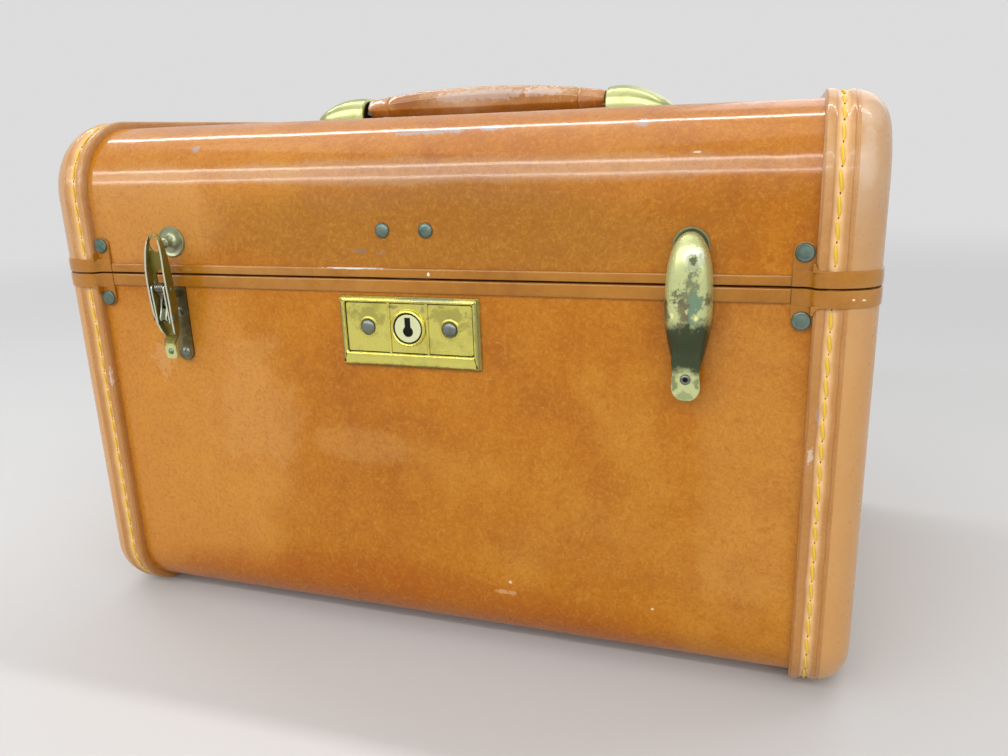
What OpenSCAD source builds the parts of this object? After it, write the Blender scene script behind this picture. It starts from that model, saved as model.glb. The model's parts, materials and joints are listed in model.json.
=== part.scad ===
/* [Case] */
// Overall width across the two end caps
case_w = 330; // [280:1:380]
// Depth of the case from front panel to back panel
case_d = 192; // [160:1:240]
// Height of the parting line above the table
body_h = 155.2; // [120:0.1:190]
// Height of the lid above the parting line
lid_h = 59; // [45:0.5:80]
// Thickness of the covered shell walls
wall = 3.4; // [2:0.1:5]
// Radius of the long edges at the top of the lid
top_r = 28; // [20:1:36]
// Radius of the long edges under the body
bottom_r = 22; // [18:1:30]
// Gap between lid and body at the parting line
part_gap = 0.7; // [0.4:0.05:1.2]

/* [End caps and bindings] */
// Radius of the outer edge of a moulded end cap
cap_r = 12.3; // [9:0.1:16]
// How far the end cap stands out from the panels
cap_out = 2.4; // [1.5:0.1:2.6]
// Radius of the inner edge of an end cap
cap_in_r = 6.5; // [4:0.5:8]
// Thickness of the flat side of an end cap
side_wall = 3; // [2:0.1:4]
// Width of the stitched binding
bind_w = 10.6; // [9:0.1:12]
// How far the binding stands out from the panels
bind_out = 3.1; // [2.8:0.1:4]
// Height of the binding above the end cap's recess
bind_seat = 1.2; // [0.8:0.1:1.6]
// Distance between stitches
stitch_pitch = 7.5; // [6:0.1:10]
// Length of one stitch
stitch_len = 5.8; // [4:0.1:8]
// Thickness of the sewing thread
thread_d = 0.8; // [0.5:0.1:1.2]

/* [Rim trim] */
// Height of the trim strip on the body rim
body_rim_h = 5; // [3:0.1:7]
// Height of the trim strip on the lid rim
lid_rim_h = 3.6; // [3:0.1:7]
// How far the trim strips stand out
rim_out = 1.2; // [0.8:0.1:1.5]
// Clear space between a trim strip and the corner band
rim_notch = 2; // [1:0.5:4]
// Height of the corner band on the body
body_band_h = 5.8; // [4:0.1:8]
// Height of the corner band on the lid
lid_band_h = 5.4; // [4:0.1:8]
// Thickness of the corner bands
band_t = 0.8; // [0.6:0.1:1.2]
// Width of the riveted tab of a corner band
tab_w = 7; // [6:0.5:9]
// Length of the tab on the body bands
body_tab_h = 8.2; // [6:0.1:12]
// Length of the tab on the lid bands
lid_tab_h = 9.2; // [6:0.1:12]
// Radius of the fillet between a tab and its band
tab_fillet = 2.4; // [1:0.1:2.5]
// Head radius of the corner rivets
corner_rivet_r = 3.1; // [2:0.1:3.3]

/* [Latches] */
// Distance of each latch from the middle
latch_x = 105; // [70:1:120]
// Height of the closed lever's pin above the table
lever_z = 138.3; // [130:0.1:145]
// Distance of the closed lever's pin from the front panel
lever_u = 6.2; // [5:0.1:8]
// Length of the link between the two pins
link_l = 9; // [7:0.1:12]
// Lean of the link past its dead centre when closed
link_closed = 8; // [4:0.5:12]
// Lean of the link when the latch stands open
link_open = 17; // [14:0.5:30]
// Lean of the lever when the latch stands open
lever_open = 4; // [2:0.5:12]
// Half width of the latch cover at its widest
cover_r = 7.5; // [6:0.1:9]
// Thickness of the latch cover
cover_t = 0.7; // [0.5:0.1:1]
// Width of the bare lever
lever_w = 9.7; // [8:0.1:10.4]
// Sheet thickness of the lever
lever_t = 0.8; // [0.6:0.1:1]
// Depth of the lever's channel
lever_deep = 4.3; // [3.6:0.1:5]
// Radius of the latch pins
pin_r = 0.8; // [0.6:0.05:1]
// Width of the latch base plate
base_w = 7.6; // [7:0.1:10]
// Wire diameter of the latch spring
wire_d = 0.5; // [0.4:0.05:0.55]
// Mean radius of the spring's curls
coil_r = 1.2; // [1.1:0.05:1.4]
// Distance from one curl of the spring to the next
coil_pitch = 0.96; // [0.95:0.01:1.05]
// Radius of the keeper disc
keeper_r = 6.2; // [5:0.1:8]
// Height of the keeper above the parting line
keeper_up = 13.3; // [12:0.1:16]

/* [Lock] */
// Width of the lock plate
plate_w = 58; // [50:1:70]
// Height of the lock plate
plate_h = 28; // [24:1:34]
// Top of the lock plate below the parting line
plate_down = 6.6; // [6:0.1:12]
// Height of the bare strip along the bottom of the plate
plate_strip = 5.6; // [4:0.1:8]
// Radius of the turning lock cylinder
cyl_r = 5.4; // [4:0.1:6]
// Distance of the hasp rivets from the middle
hasp_rivet_x = 8.8; // [7:0.1:11]
// Height of the hasp rivets above the parting line
hasp_rivet_up = 18; // [14:0.5:24]

/* [Handle] */
// Length of the padded grip between its ferrules
grip_l = 90.6; // [80:0.5:110]
// Length of each ferrule
ferrule_l = 11.5; // [8:0.5:16]
// Width of the grip from front to back
grip_w = 20; // [16:0.5:26]
// Height of the grip in the middle
grip_h = 11.7; // [9:0.1:14]
// Bevel along the edges of the grip
grip_bevel = 3.2; // [2:0.1:4.5]
// Rise of the arched top of the grip
grip_rise = 3.7; // [2:0.1:5]
// Space under the grip when it lies down
grip_gap = 1.3; // [0.8:0.1:3]
// Length of each brass handle cap
hcap_l = 28; // [22:0.5:34]
// Height of each brass handle cap
hcap_h = 10.6; // [9:0.1:13]
// Width of each brass handle cap
hcap_w = 23; // [20:0.5:28]
// How far the grip lifts
grip_lift = 4; // [2:0.1:4.4]

/* [Hinges and inside] */
// Distance of each hinge from the middle
hinge_x = 92; // [60:1:120]
// Length of each hinge
hinge_l = 45; // [30:1:60]
// Radius of the hinge barrels
barrel_r = 2.6; // [2.2:0.1:3.5]
// Distance of the hinge axis behind the back panel
axis_out = 4.5; // [4.2:0.1:6]
// Height of the frame tongue above the parting line
tongue_h = 6; // [4:0.5:10]
// Thickness of the inner lining
lining_t = 1.6; // [1:0.1:3]
// Width of the mirror in the lid
mirror_w = 210; // [150:5:260]
// Depth of the mirror in the lid
mirror_d = 118; // [80:2:130]

/* [Hidden] */

fit = 0.05;
eps = 0.02;
reach_back = axis_out + barrel_r;
hw = case_w / 2;
hd = case_d / 2;
foot = bind_out;
lid_top = body_h + lid_h;
body_top = body_h - part_gap / 2;
lid_bottom = body_h + part_gap / 2;
body_run = body_top - foot;
lid_run = lid_top - lid_bottom;
cap_x = hw - cap_r;
cap_o = cap_out - cap_r;
in_x = hw - side_wall - cap_in_r;
bind_x = cap_x + 2.3 - bind_w;
bind_end = bind_x + bind_w;
cap_edge = bind_x + 3.6;
valley_x = bind_x + 5.6;
valley_o = bind_out - 1.4;
tab_x = bind_x - tab_w / 2;
tab_t = 1;
band_step = 0.9;
rim_x = bind_x - tab_w - rim_notch;
rivet_z = body_top - body_band_h - body_tab_h + tab_w / 2;
lid_rivet_z = lid_bottom + lid_band_h + lid_tab_h - tab_w / 2;
base_t = 1;
base_top = body_top - body_rim_h - 0.1;
base_bottom = lever_z - 20;
pivot_u = lever_u + link_l * sin(link_closed);
pivot_z = lever_z + link_l * cos(link_closed);
open_u = pivot_u + link_l * sin(link_open);
open_z = pivot_z - link_l * cos(link_open);
web_y = 2.8;
lever_side = [[-9, 1], [-6, 3], [0, lever_deep], [14, lever_deep], [20, lever_deep - 0.3],
  [30, lever_deep - 1.9], [35, lever_deep - 3.2]];
function cover_half(t) = t > cover_mid
  ? cover_r * sqrt(max(0, 1 - pow((t - cover_mid) / (cover_top - cover_mid), 2.5)))
  : cover_r * sqrt(1 - pow((cover_mid - t) / 26, 1.5));
function lever_half(t) = t > 8
  ? lever_w / 2 * sqrt(max(0, 1 - pow((t - 8) / 28.4, 3.1)))
  : lever_w / 2 * sqrt(1 - pow((8 - t) / 20, 1.9));
// The open lever is the foremost piece: the case is placed so that its box is centred
reach_front = open_u + max([for (p = lever_side)
  (p[1] - web_y) * cos(lever_open) + p[0] * sin(lever_open)]);
case_y = (reach_front - reach_back) / 2;
hole_t = 29.9;
hole_r = 3.1;
spring_t = 12.2;
spring_w = 2.7;
cheek_in = 2.65;
cheek_t = 0.7;
slot_w = 5;
lever_low = -8.5;
lever_top = 34;
cover_low = -10.3;
cover_top = 35.1;
cover_mid = 9.5;
cover_axis = 0.2;
cover_tail = 4.3;
tail_w = 2.6;
tail_half = 2.75;
tail_end = -17.5;
rivet_t = -14.2;
keeper_z = body_h + keeper_up;
plate_top = body_h - plate_down;
plate_low = plate_top - plate_h;
cyl_z = plate_low + plate_strip + 10.2;
case_z0 = cyl_z - 12.5;
case_z1 = cyl_z + 13.5;
lock_in = 12;
axis_y = hd + axis_out;
axis_z = body_h;
leaf_t = 1.2;
leaf_h = 20;
inner_y = hd - wall;
inner_top = lid_top - wall;
inner_low = foot + wall;
line_x = hw - side_wall;
frame_low = 15;
frame_t = 1.6;
grip_half = grip_l / 2;
ferrule_x = grip_half + ferrule_l;
hcap_x = ferrule_x + 0.8;
grip_low = lid_top + grip_gap;
grip_top = grip_low + grip_h;
arch_r = (grip_half * grip_half + grip_rise * grip_rise) / (2 * grip_rise);
strap_z = grip_low + 1.4;
strap_t = 2.2;
strap_w = 12;
shell = 0.9;

$fn = 64;

// Half of the long run of a section round the bottom, from the table up to the cut
module half_run(r, run) {
  translate([0, -hd, r]) rotate([0, 0, -90]) linear_extrude(height = run - r) children();
  translate([0, -hd + r, r]) rotate([-90, 0, -90])
    rotate_extrude(angle = 90) translate([r, 0]) children();
  rotate([90, 0, 0]) rotate([0, 0, -90]) linear_extrude(height = hd - r) children();
}
module run(r, h) {
  half_run(r, h) children();
  mirror([0, 1, 0]) half_run(r, h) children();
}
// Sections are drawn as (outward, sideways)
module body_run() { translate([0, case_y, foot]) run(bottom_r, body_run) children(); }
module lid_run() {
  translate([0, case_y, lid_top]) mirror([0, 0, 1]) run(top_r, lid_run) children();
}
module at_side(s) { mirror([s < 0 ? 1 : 0, 0, 0]) children(); }
// Outline of a side, drawn inset from the panels, with its cut edge at height h
module side_shape(inset, r, h) {
  q = r - inset;
  translate([-hd + inset, r]) square([case_d - 2 * inset, h - r]);
  translate([-hd + r, inset]) square([case_d - 2 * r, q + eps]);
  for (s = [-1, 1]) translate([s * (hd - r), r]) circle(q);
}
module side_plate(x0, x1, inset, r, h) {
  translate([x0, 0, 0]) rotate([90, 0, 90]) linear_extrude(height = x1 - x0)
    side_shape(inset, r, h);
}
module body_plate(x0, x1, inset) {
  translate([0, case_y, foot]) side_plate(x0, x1, inset, bottom_r, body_run);
}
module lid_plate(x0, x1, inset) {
  translate([0, case_y, lid_top]) mirror([0, 0, 1])
    side_plate(x0, x1, inset, top_r, lid_run);
}
module quarter(cx, co, r_out, r_in) {
  translate([co, cx]) intersection() {
    difference() {
      circle(r_out);
      circle(r_in);
    }
    square(r_out + 1);
  }
}

// Sections of the shell
module wrap_section() { translate([-wall, -cap_edge]) square([wall, 2 * cap_edge]); }
module end_section() {
  difference() {
    union() {
      intersection() {
        translate([cap_o, cap_x]) circle(cap_r);
        translate([cap_o, cap_x]) square(cap_r + 1);
      }
      translate([cap_o, cap_edge]) square([bind_seat - cap_o, cap_x - cap_edge + eps]);
    }
    translate([bind_seat, cap_edge - 1]) square([cap_out + 1, bind_end - cap_edge + 1]);
    translate([cap_o - 1, cap_edge - 1]) square([1 - cap_o - wall, in_x - cap_edge + 1]);
    translate([cap_o, in_x]) intersection() {
      circle(cap_in_r);
      translate([-1, -1]) square(cap_in_r + 2);
    }
  }
}
module binding_section() {
  polygon([
    [0, bind_x], [bind_out - 0.5, bind_x], [bind_out, bind_x + 0.5],
    [bind_out, bind_x + 3], [bind_out - 0.5, bind_x + 3.9], [valley_o + 0.2, valley_x - 1.1],
    [valley_o, valley_x - 0.5], [valley_o, valley_x + 0.5], [valley_o + 0.2, valley_x + 1.1],
    [bind_out - 0.5, bind_end - 3.1], [bind_out, bind_end - 2.4], [bind_out, bind_end - 1.2],
    [bind_out - 0.3, bind_end - 0.5], [bind_out - 0.7, bind_end],
    [bind_seat, bind_end], [bind_seat, cap_edge], [0, cap_edge]
  ]);
}
module skin_section(t) {
  translate([-wall - t, -in_x]) square([t, 2 * in_x]);
  for (s = [0, 1]) mirror([0, s]) difference() {
    quarter(in_x, cap_o, cap_in_r, cap_in_r - t);
    translate([0, in_x - eps - 1]) square([1, 1]);
  }
}

module rivet(r, h, shank_r, shank_l) {
  s = (r * r + h * h) / (2 * h);
  rotate_extrude() intersection() {
    translate([0, h - s]) circle(s, $fn = 96);
    square([r, h]);
  }
  translate([0, 0, -shank_l]) cylinder(r = shank_r, h = shank_l + eps);
}
// A rivet seen from the front: origin on the panel at distance u
module front_rivet(x, z, u, r, h, shank_r, shank_l) {
  translate([x, case_y - hd - u, z]) rotate([90, 0, 0]) rivet(r, h, shank_r, shank_l);
}
module back_rivet(x, z, u, r, h, shank_r, shank_l) {
  translate([x, case_y + hd + u, z]) rotate([-90, 0, 0]) rivet(r, h, shank_r, shank_l);
}
// A straight hole through a panel from front to back
module through(x, z, r) {
  translate([x, case_y - hd - 2, z]) rotate([-90, 0, 0]) cylinder(r = r, h = wall + 6);
}
module through_back(x, z, r) {
  translate([x, case_y + hd + 2, z]) rotate([90, 0, 0]) cylinder(r = r, h = wall + 6);
}
hinge_rivets = [[-15, 1], [0, 1], [15, 1]];
leaf_rivet = 14.5;

// Shell
module body_wrap() {
  color("peru") difference() {
    body_run() wrap_section();
    for (s = [-1, 1]) {
      for (z = [base_bottom + base_w / 2, lever_z + 1]) through(s * latch_x, z, 1.5 + fit);
      through(s * tab_x, rivet_z, 1.3 + fit);
      through_back(s * tab_x, rivet_z, 1.3 + fit);
      through(s * 17, cyl_z, 1.3 + fit);
      for (p = hinge_rivets) through_back(s * hinge_x + p[0], axis_z - leaf_rivet, 1.2 + fit);
    }
    through(0, cyl_z, cyl_r + 0.4);
  }
}
module body_end(s) {
  color("burlywood") at_side(s) {
    body_run() end_section();
    body_plate(hw - side_wall, hw, -cap_o);
  }
}
module body_binding(s) {
  color("sandybrown") at_side(s) body_run() binding_section();
}
module lid_wrap() {
  color("peru") difference() {
    lid_run() wrap_section();
    for (s = [-1, 1]) {
      through(s * latch_x, keeper_z, 1.6 + fit);
      through(s * tab_x, lid_rivet_z, 1.3 + fit);
      through_back(s * tab_x, lid_rivet_z, 1.3 + fit);
      through(s * hasp_rivet_x, body_h + hasp_rivet_up, 1.3 + fit);
      for (p = hinge_rivets) through_back(s * hinge_x + p[0], axis_z + leaf_rivet, 1.2 + fit);
      for (d = [9, 21]) translate([s * (hcap_x + d), case_y, lid_top - wall - 1])
        cylinder(r = 1.5 + fit, h = wall + 2);
    }
  }
}
module lid_end(s) {
  color("burlywood") at_side(s) {
    lid_run() end_section();
    lid_plate(hw - side_wall, hw, -cap_o);
  }
}
module lid_binding(s) {
  color("sandybrown") at_side(s) lid_run() binding_section();
}

// Stitches lie along the valley of a binding
module stitch() { cylinder(d = thread_d, h = stitch_len, center = true, $fn = 12); }
module half_stitches(r, run) {
  o = valley_o + thread_d / 2;
  n = floor((run - r - 2) / stitch_pitch);
  for (i = [0:n - 1])
    translate([valley_x, -hd - o, r + (i + 0.5) * stitch_pitch]) stitch();
  m = round(PI / 2 * (r + o) / stitch_pitch);
  for (i = [0:m - 1]) translate([valley_x, -hd + r, r]) rotate([(i + 0.5) * 90 / m, 0, 0])
    translate([0, -r - o, 0]) stitch();
  k = floor((hd - r) / stitch_pitch);
  for (i = [0:k - 1])
    translate([valley_x, -hd + r + (i + 0.5) * stitch_pitch, -o]) rotate([90, 0, 0]) stitch();
}
module stitches(r, run) {
  for (s = [-1, 1]) at_side(s) for (b = [0, 1]) mirror([0, b, 0]) half_stitches(r, run);
}
module body_stitches() {
  color("gold") translate([0, case_y, foot]) stitches(bottom_r, body_run - body_band_h);
}
module lid_stitches() {
  color("gold") translate([0, case_y, lid_top]) mirror([0, 0, 1])
    stitches(top_r, lid_run - lid_band_h);
}

// Rim trim and corner bands
module rim(z0, h, back) {
  b = 0.5;
  translate([-rim_x, case_y, z0]) rotate([90, 0, 90]) linear_extrude(height = 2 * rim_x)
    mirror([back ? 1 : 0, 0]) polygon([
      [-hd, 0], [-hd - rim_out + b, 0], [-hd - rim_out, b],
      [-hd - rim_out, h - b], [-hd - rim_out + b, h], [-hd, h]
    ]);
}
module body_front_rim() {
  color("chocolate") rim(body_top - body_rim_h, body_rim_h, false);
}
module body_back_rim() {
  color("chocolate") rim(body_top - body_rim_h, body_rim_h, true);
}
module lid_front_rim() { color("chocolate") rim(lid_bottom, lid_rim_h, false); }
module lid_back_rim() { color("chocolate") rim(lid_bottom, lid_rim_h, true); }

module band_plan() {
  o = bind_out + band_t;
  difference() {
    union() {
      translate([bind_x - band_step, -hd - o])
        square([bind_end - bind_x + band_step - 1.2, case_d + 2 * o]);
      translate([cap_x, -hd - cap_o]) square([cap_r + band_t - 0.3, case_d + 2 * cap_o]);
      for (s = [-1, 1]) {
        translate([cap_x, s * (hd + cap_o)]) circle(cap_r + band_t - 0.3);
        translate([bind_x - tab_w, s > 0 ? hd : -hd - tab_t]) square([tab_w, tab_t]);
      }
    }
    translate([bind_x, -hd - bind_out]) square([bind_w, case_d + 2 * bind_out]);
    translate([bind_x - tab_w - 1, -hd]) square([bind_w + 10, case_d]);
    translate([cap_x - 1, -hd - cap_o]) square([cap_r + 1, case_d + 2 * cap_o]);
    for (s = [-1, 1]) translate([cap_x, s * (hd + cap_o)]) circle(cap_r);
  }
}
// Riveted tongue of a band, pointing down from height z
module tab(z, len, back) {
  r = tab_w / 2;
  translate([tab_x, case_y + (back ? hd + tab_t : -hd), z]) rotate([90, 0, 0])
    linear_extrude(height = tab_t) difference() {
      union() {
        translate([-r, -len + r]) square([tab_w, len - r]);
        translate([0, -len + r]) circle(r);
      }
      translate([0, -len + r]) circle(1.3 + fit);
    }
}
// Rounds the corner between a tab and its band, where the band steps onto the binding
module tab_corner(z, back) {
  r = tab_fillet;
  o = bind_out + band_t;
  translate([bind_x, case_y + (back ? hd + o : -hd - bind_out), z]) rotate([90, 0, 0])
    linear_extrude(height = band_t) difference() {
      translate([-band_step, -r]) square([r + band_step, r + eps]);
      translate([r, -r]) circle(r);
    }
  translate([bind_x - band_step, case_y + (back ? hd : -hd - o), z - r])
    cube([band_step, o, r + eps]);
}
module body_band(s) {
  color("tan") at_side(s) {
    translate([0, case_y, body_top - body_band_h]) linear_extrude(height = body_band_h)
      band_plan();
    for (b = [false, true]) {
      tab(body_top - body_band_h, body_tab_h, b);
      tab_corner(body_top - body_band_h, b);
    }
  }
}
module lid_band(s) {
  color("tan") at_side(s) {
    translate([0, case_y, lid_bottom]) linear_extrude(height = lid_band_h) band_plan();
    translate([0, 0, 2 * (lid_bottom + lid_band_h)]) mirror([0, 0, 1])
      for (b = [false, true]) {
        tab(lid_bottom + lid_band_h, lid_tab_h, b);
        tab_corner(lid_bottom + lid_band_h, b);
      }
  }
}
module corner_rivets(z) {
  for (s = [-1, 1]) {
    front_rivet(s * tab_x, z, tab_t, corner_rivet_r, 1.6, 1.3, tab_t + wall);
    back_rivet(s * tab_x, z, tab_t, corner_rivet_r, 1.6, 1.3, tab_t + wall);
  }
}
module body_band_rivets() { color("dimgray") corner_rivets(rivet_z); }
module lid_band_rivets() { color("dimgray") corner_rivets(lid_rivet_z); }

// Lock
module bevel_block(w, h, t, b) {
  intersection() {
    linear_extrude(height = h) polygon([
      [-w / 2, 0], [-w / 2, -t + b], [-w / 2 + b, -t], [w / 2 - b, -t], [w / 2, -t + b],
      [w / 2, 0]
    ]);
    translate([-w / 2, 0, 0]) rotate([90, 0, 90]) linear_extrude(height = w) polygon([
      [0, 0], [-t + b, 0], [-t, b], [-t, h - b], [-t + b, h], [0, h]
    ]);
  }
}
module lock_plate() {
  field_h = plate_h - plate_strip - 2.8;
  color("goldenrod") translate([0, case_y - hd, 0]) difference() {
    union() {
      difference() {
        translate([0, 0, plate_low]) bevel_block(plate_w, plate_h, 2.4, 1.2);
        translate([-plate_w / 2 + 2.4, -3.4, plate_low + plate_strip])
          cube([plate_w - 4.8, 2.2, field_h]);
      }
      for (s = [-1, 1]) translate([s * 7.9 - 0.6, -2, plate_low + plate_strip])
        cube([1.2, 1, field_h]);
      translate([0, 0, cyl_z]) rotate([90, 0, 0]) cylinder(r = cyl_r + 1.3, h = 2.6);
    }
    translate([0, 1, cyl_z]) rotate([90, 0, 0]) cylinder(r = cyl_r + fit, h = 5);
    for (s = [-1, 1]) translate([s * 17, 1, cyl_z]) rotate([90, 0, 0])
      cylinder(r = 1.3 + fit, h = 5);
  }
}
module lock_plate_rivets() {
  color("darkkhaki") for (s = [-1, 1])
    front_rivet(s * 17, cyl_z, 1.2, 2.9, 1.5, 1.3, 1.2 + wall);
}
module lock_cylinder() {
  color("gold") translate([0, case_y - hd, cyl_z]) {
    difference() {
      translate([0, wall + 0.4, 0]) rotate([90, 0, 0]) cylinder(r = cyl_r, h = wall + 2.4);
      translate([0, 1.5, -1.2]) rotate([90, 0, 0]) cylinder(r = 2.1, h = 6, $fn = 48);
      translate([-1.2, -4.5, -1.2]) cube([2.4, 6, 5.4]);
    }
    translate([0, wall + 5.6, 0]) rotate([90, 0, 0]) cylinder(r = 3, h = 5.4);
    difference() {
      translate([0, wall + 5.6, -1.9]) rotate([90, 0, 0]) linear_extrude(height = 1.4) {
        square([11, 3.8]);
        translate([11, 1.9]) circle(1.9);
      }
    }
    translate([11, wall + 4.4, 0]) rotate([90, 0, 0]) cylinder(r = 1.2, h = 2.6, $fn = 32);
  }
}
module lock_case() {
  w = 40;
  t = 1.2;
  color("silver") translate([-w / 2, case_y - hd + wall, 0]) difference() {
    translate([0, 0, case_z0]) cube([w, lock_in, case_z1 - case_z0]);
    translate([t, -t, case_z0 + t]) cube([w - 2 * t, lock_in, case_z1 - case_z0 - 2 * t]);
    translate([w / 2 - 9.5, -t, case_z1 - 2]) cube([19, 7.6, 4]);
  }
}
module lock_hasp() {
  z = body_h + hasp_rivet_up;
  color("silver") translate([0, case_y - hd + wall, 0]) difference() {
    union() {
      translate([-12, 0, body_h + 4.5]) cube([24, 1.4, 22]);
      translate([0, 2.8, 0]) rotate([90, 0, 0]) linear_extrude(height = 1.4) difference() {
        translate([-8, cyl_z + 3.8]) square([16, body_h + 26.5 - cyl_z - 3.8]);
        translate([-3.2, cyl_z + 9.2]) square([12, 4.4]);
        translate([2.4, cyl_z + 6]) square([6, 4]);
      }
    }
    for (s = [-1, 1]) translate([s * hasp_rivet_x, -1, z]) rotate([-90, 0, 0])
      cylinder(r = 1.3 + fit, h = 5);
  }
}
module hasp_rivets() {
  color("dimgray") for (s = [-1, 1])
    front_rivet(s * hasp_rivet_x, body_h + hasp_rivet_up, 0, 2.9, 1.5, 1.3, wall + 2.6);
}

// Latches. Each lever is drawn about its pin: -Y is outward, +Z along the lever
function leaf_side(a, b, n, lever, d) = [for (i = [0:n]) let (t = a + (b - a) * i / n)
  [max(0, (lever ? lever_half(t) : cover_half(t)) - d), t]];
module leaf(a, b, lever, d) {
  for (s = [0, 1]) mirror([s, 0])
    polygon(concat([[0, a]], leaf_side(a, b, 22, lever, d), [[0, b]]));
}
module spindle(a, b, d) {
  rotate_extrude($fn = 72) polygon(concat([[0, a]], leaf_side(a, b, 22, false, d), [[0, b]]));
}
module slab(w0, w1) {
  translate([0, web_y - w0, 0]) rotate([90, 0, 0]) linear_extrude(height = w1 - w0) children();
}
module cross_pin(w, t, r, x) {
  translate([-x, web_y - w, t]) rotate([0, 90, 0]) cylinder(r = r, h = 2 * x, $fn = 32);
}
module lever_shape() {
  intersection() {
    union() {
      slab(0, lever_t) leaf(lever_low, lever_top, true, 0);
      slab(0, lever_deep) difference() {
        leaf(lever_low, lever_top, true, 0);
        leaf(lever_low - 1, lever_top - lever_t, true, lever_t);
      }
    }
    rotate([90, 0, 90]) linear_extrude(height = 4 * cover_r, center = true)
      polygon(concat([for (p = lever_side) [web_y - p[1], p[0]]],
        [[web_y, cover_top], [web_y, lever_low - 1]]));
    translate([0, web_y - cover_axis, 0]) spindle(lever_low - 1, cover_top, cover_t + 0.1);
  }
}
module cheek(x) {
  translate([x, 0, 0]) rotate([90, 0, 90]) linear_extrude(height = cheek_t) {
    translate([web_y - spring_w, spring_t]) circle(1.7);
    translate([web_y - spring_w - 1.7, -1.8]) square([spring_w + 1.7 - lever_t, spring_t + 1.8]);
    translate([web_y - spring_w, spring_t]) square([spring_w - lever_t, 1.7]);
  }
}
module lever_body() {
  difference() {
    union() {
      lever_shape();
      for (x = [-cheek_in - cheek_t, cheek_in]) cheek(x);
      rotate([90, 0, 90]) translate([0, 0, -tail_half])
        linear_extrude(height = 2 * tail_half) polygon([
          [web_y, -7], [web_y, -8.2], [web_y - tail_w, -10.4], [web_y - tail_w, -13],
          [web_y - tail_w - lever_t, -13], [web_y - tail_w - lever_t, -10.1],
          [web_y - lever_t, -7.8], [web_y - lever_t, -7]
        ]);
      slab(tail_w, tail_w + lever_t) {
        translate([-tail_half, tail_end + 1.6]) square([2 * tail_half, -13 - tail_end]);
        translate([-tail_half + 1.6, tail_end]) square([2 * tail_half - 3.2, 4]);
        for (x = [-1, 1]) translate([x * (tail_half - 1.6), tail_end + 1.6]) circle(1.6);
      }
    }
    slab(-1, 2) {
      translate([0, hole_t]) circle(hole_r);
      translate([0, 17]) circle(slot_w / 2);
      translate([-slot_w / 2, -1]) square([slot_w, 18]);
    }
    cross_pin(web_y, 0, pin_r + fit, 6);
    cross_pin(spring_w, spring_t, pin_r + fit, 6);
    translate([0, web_y - tail_w + 1, rivet_t]) rotate([90, 0, 0])
      cylinder(r = 0.9 + fit, h = 3, $fn = 32);
  }
}
module lever_pins(head) {
  seat = lever_half(head) + 0.05;
  cross_pin(web_y, 0, pin_r, seat + eps);
  for (s = [-1, 1]) translate([s * seat, 0, 0]) rotate([0, s * 90, 0]) rivet(head, 0.4, 0.5, 0.2);
  cross_pin(spring_w, spring_t, pin_r, cheek_in + cheek_t + 0.1);
}
module tail_rivet(w, r, h) {
  translate([0, web_y - w, rivet_t]) rotate([90, 0, 0]) rivet(r, h, 0.9, w - tail_w + 0.3);
}
module cover_shape() {
  low = -9;
  difference() {
    union() {
      intersection() {
        translate([0, web_y - cover_axis, 0]) spindle(low, cover_top, 0);
        translate([-10, -20 + web_y - cover_axis, -12]) cube([20, 20, 50]);
      }
      slab(-1.8, cover_axis) leaf(low, cover_top, false, 0);
      slab(tail_w + lever_t, tail_w + lever_t + cover_t) {
        translate([-cover_tail, -17.9]) square([2 * cover_tail, 9.1]);
        translate([0, -17.9]) circle(cover_tail);
      }
    }
    intersection() {
      translate([0, web_y - cover_axis, 0]) spindle(low - 0.1, cover_top, cover_t);
      translate([-10, -20 + web_y - cover_axis, -12]) cube([20, 20, 50]);
    }
    slab(-2.8, cover_axis + eps) leaf(low - 1, cover_top - cover_t, false, cover_t);
    slab(tail_w - 1, tail_w + lever_t) translate([-tail_half - 0.3, low - 2])
      square([2 * tail_half + 0.6, 4]);
    translate([0, web_y - tail_w + 1, rivet_t]) rotate([90, 0, 0])
      cylinder(r = 0.9 + fit, h = 6, $fn = 32);
  }
}
// One tube wound about the spring pin, with a straight leg at each end
turns = 4.5;
ring_n = 8;
coil_steps = 16;
leg_front = 13.2;
leg_back = 10.4;
coil_x = turns * coil_pitch / 2;
function coil_point(a) = [
  coil_x - coil_pitch * a / 360,
  web_y - spring_w - coil_r * cos(a),
  spring_t + coil_r * sin(a)
];
spring_path = concat(
  [coil_point(0) - [0, 0, leg_front], coil_point(0) - [0, 0, 1]],
  [for (i = [0:coil_steps * turns]) coil_point(i * 360 / coil_steps)],
  [coil_point(360 * turns) - [0, 0, 1], coil_point(360 * turns) - [0, 0, leg_back]]
);
path_n = len(spring_path);
function path_angle(i) = min(max(i - 2, 0), coil_steps * turns) * 360 / coil_steps;
function ring_point(i, j) = let (a = path_angle(i), b = 360 * j / ring_n)
  spring_path[i] + wire_d / 2 * (cos(b) * [0, -cos(a), sin(a)] + sin(b) * [1, 0, 0]);
module spring_tube() {
  polyhedron(
    points = [for (i = [0:path_n - 1]) for (j = [0:ring_n - 1]) ring_point(i, j)],
    faces = concat(
      [[for (j = [0:ring_n - 1]) j]],
      [for (i = [0:path_n - 2]) for (j = [0:ring_n - 1]) let (k = (j + 1) % ring_n)
        [i * ring_n + j, (i + 1) * ring_n + j, (i + 1) * ring_n + k, i * ring_n + k]],
      [[for (j = [ring_n - 1:-1:0]) (path_n - 1) * ring_n + j]]
    )
  );
}
echo(spring_gap_to_itself = coil_pitch - wire_d);
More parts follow.
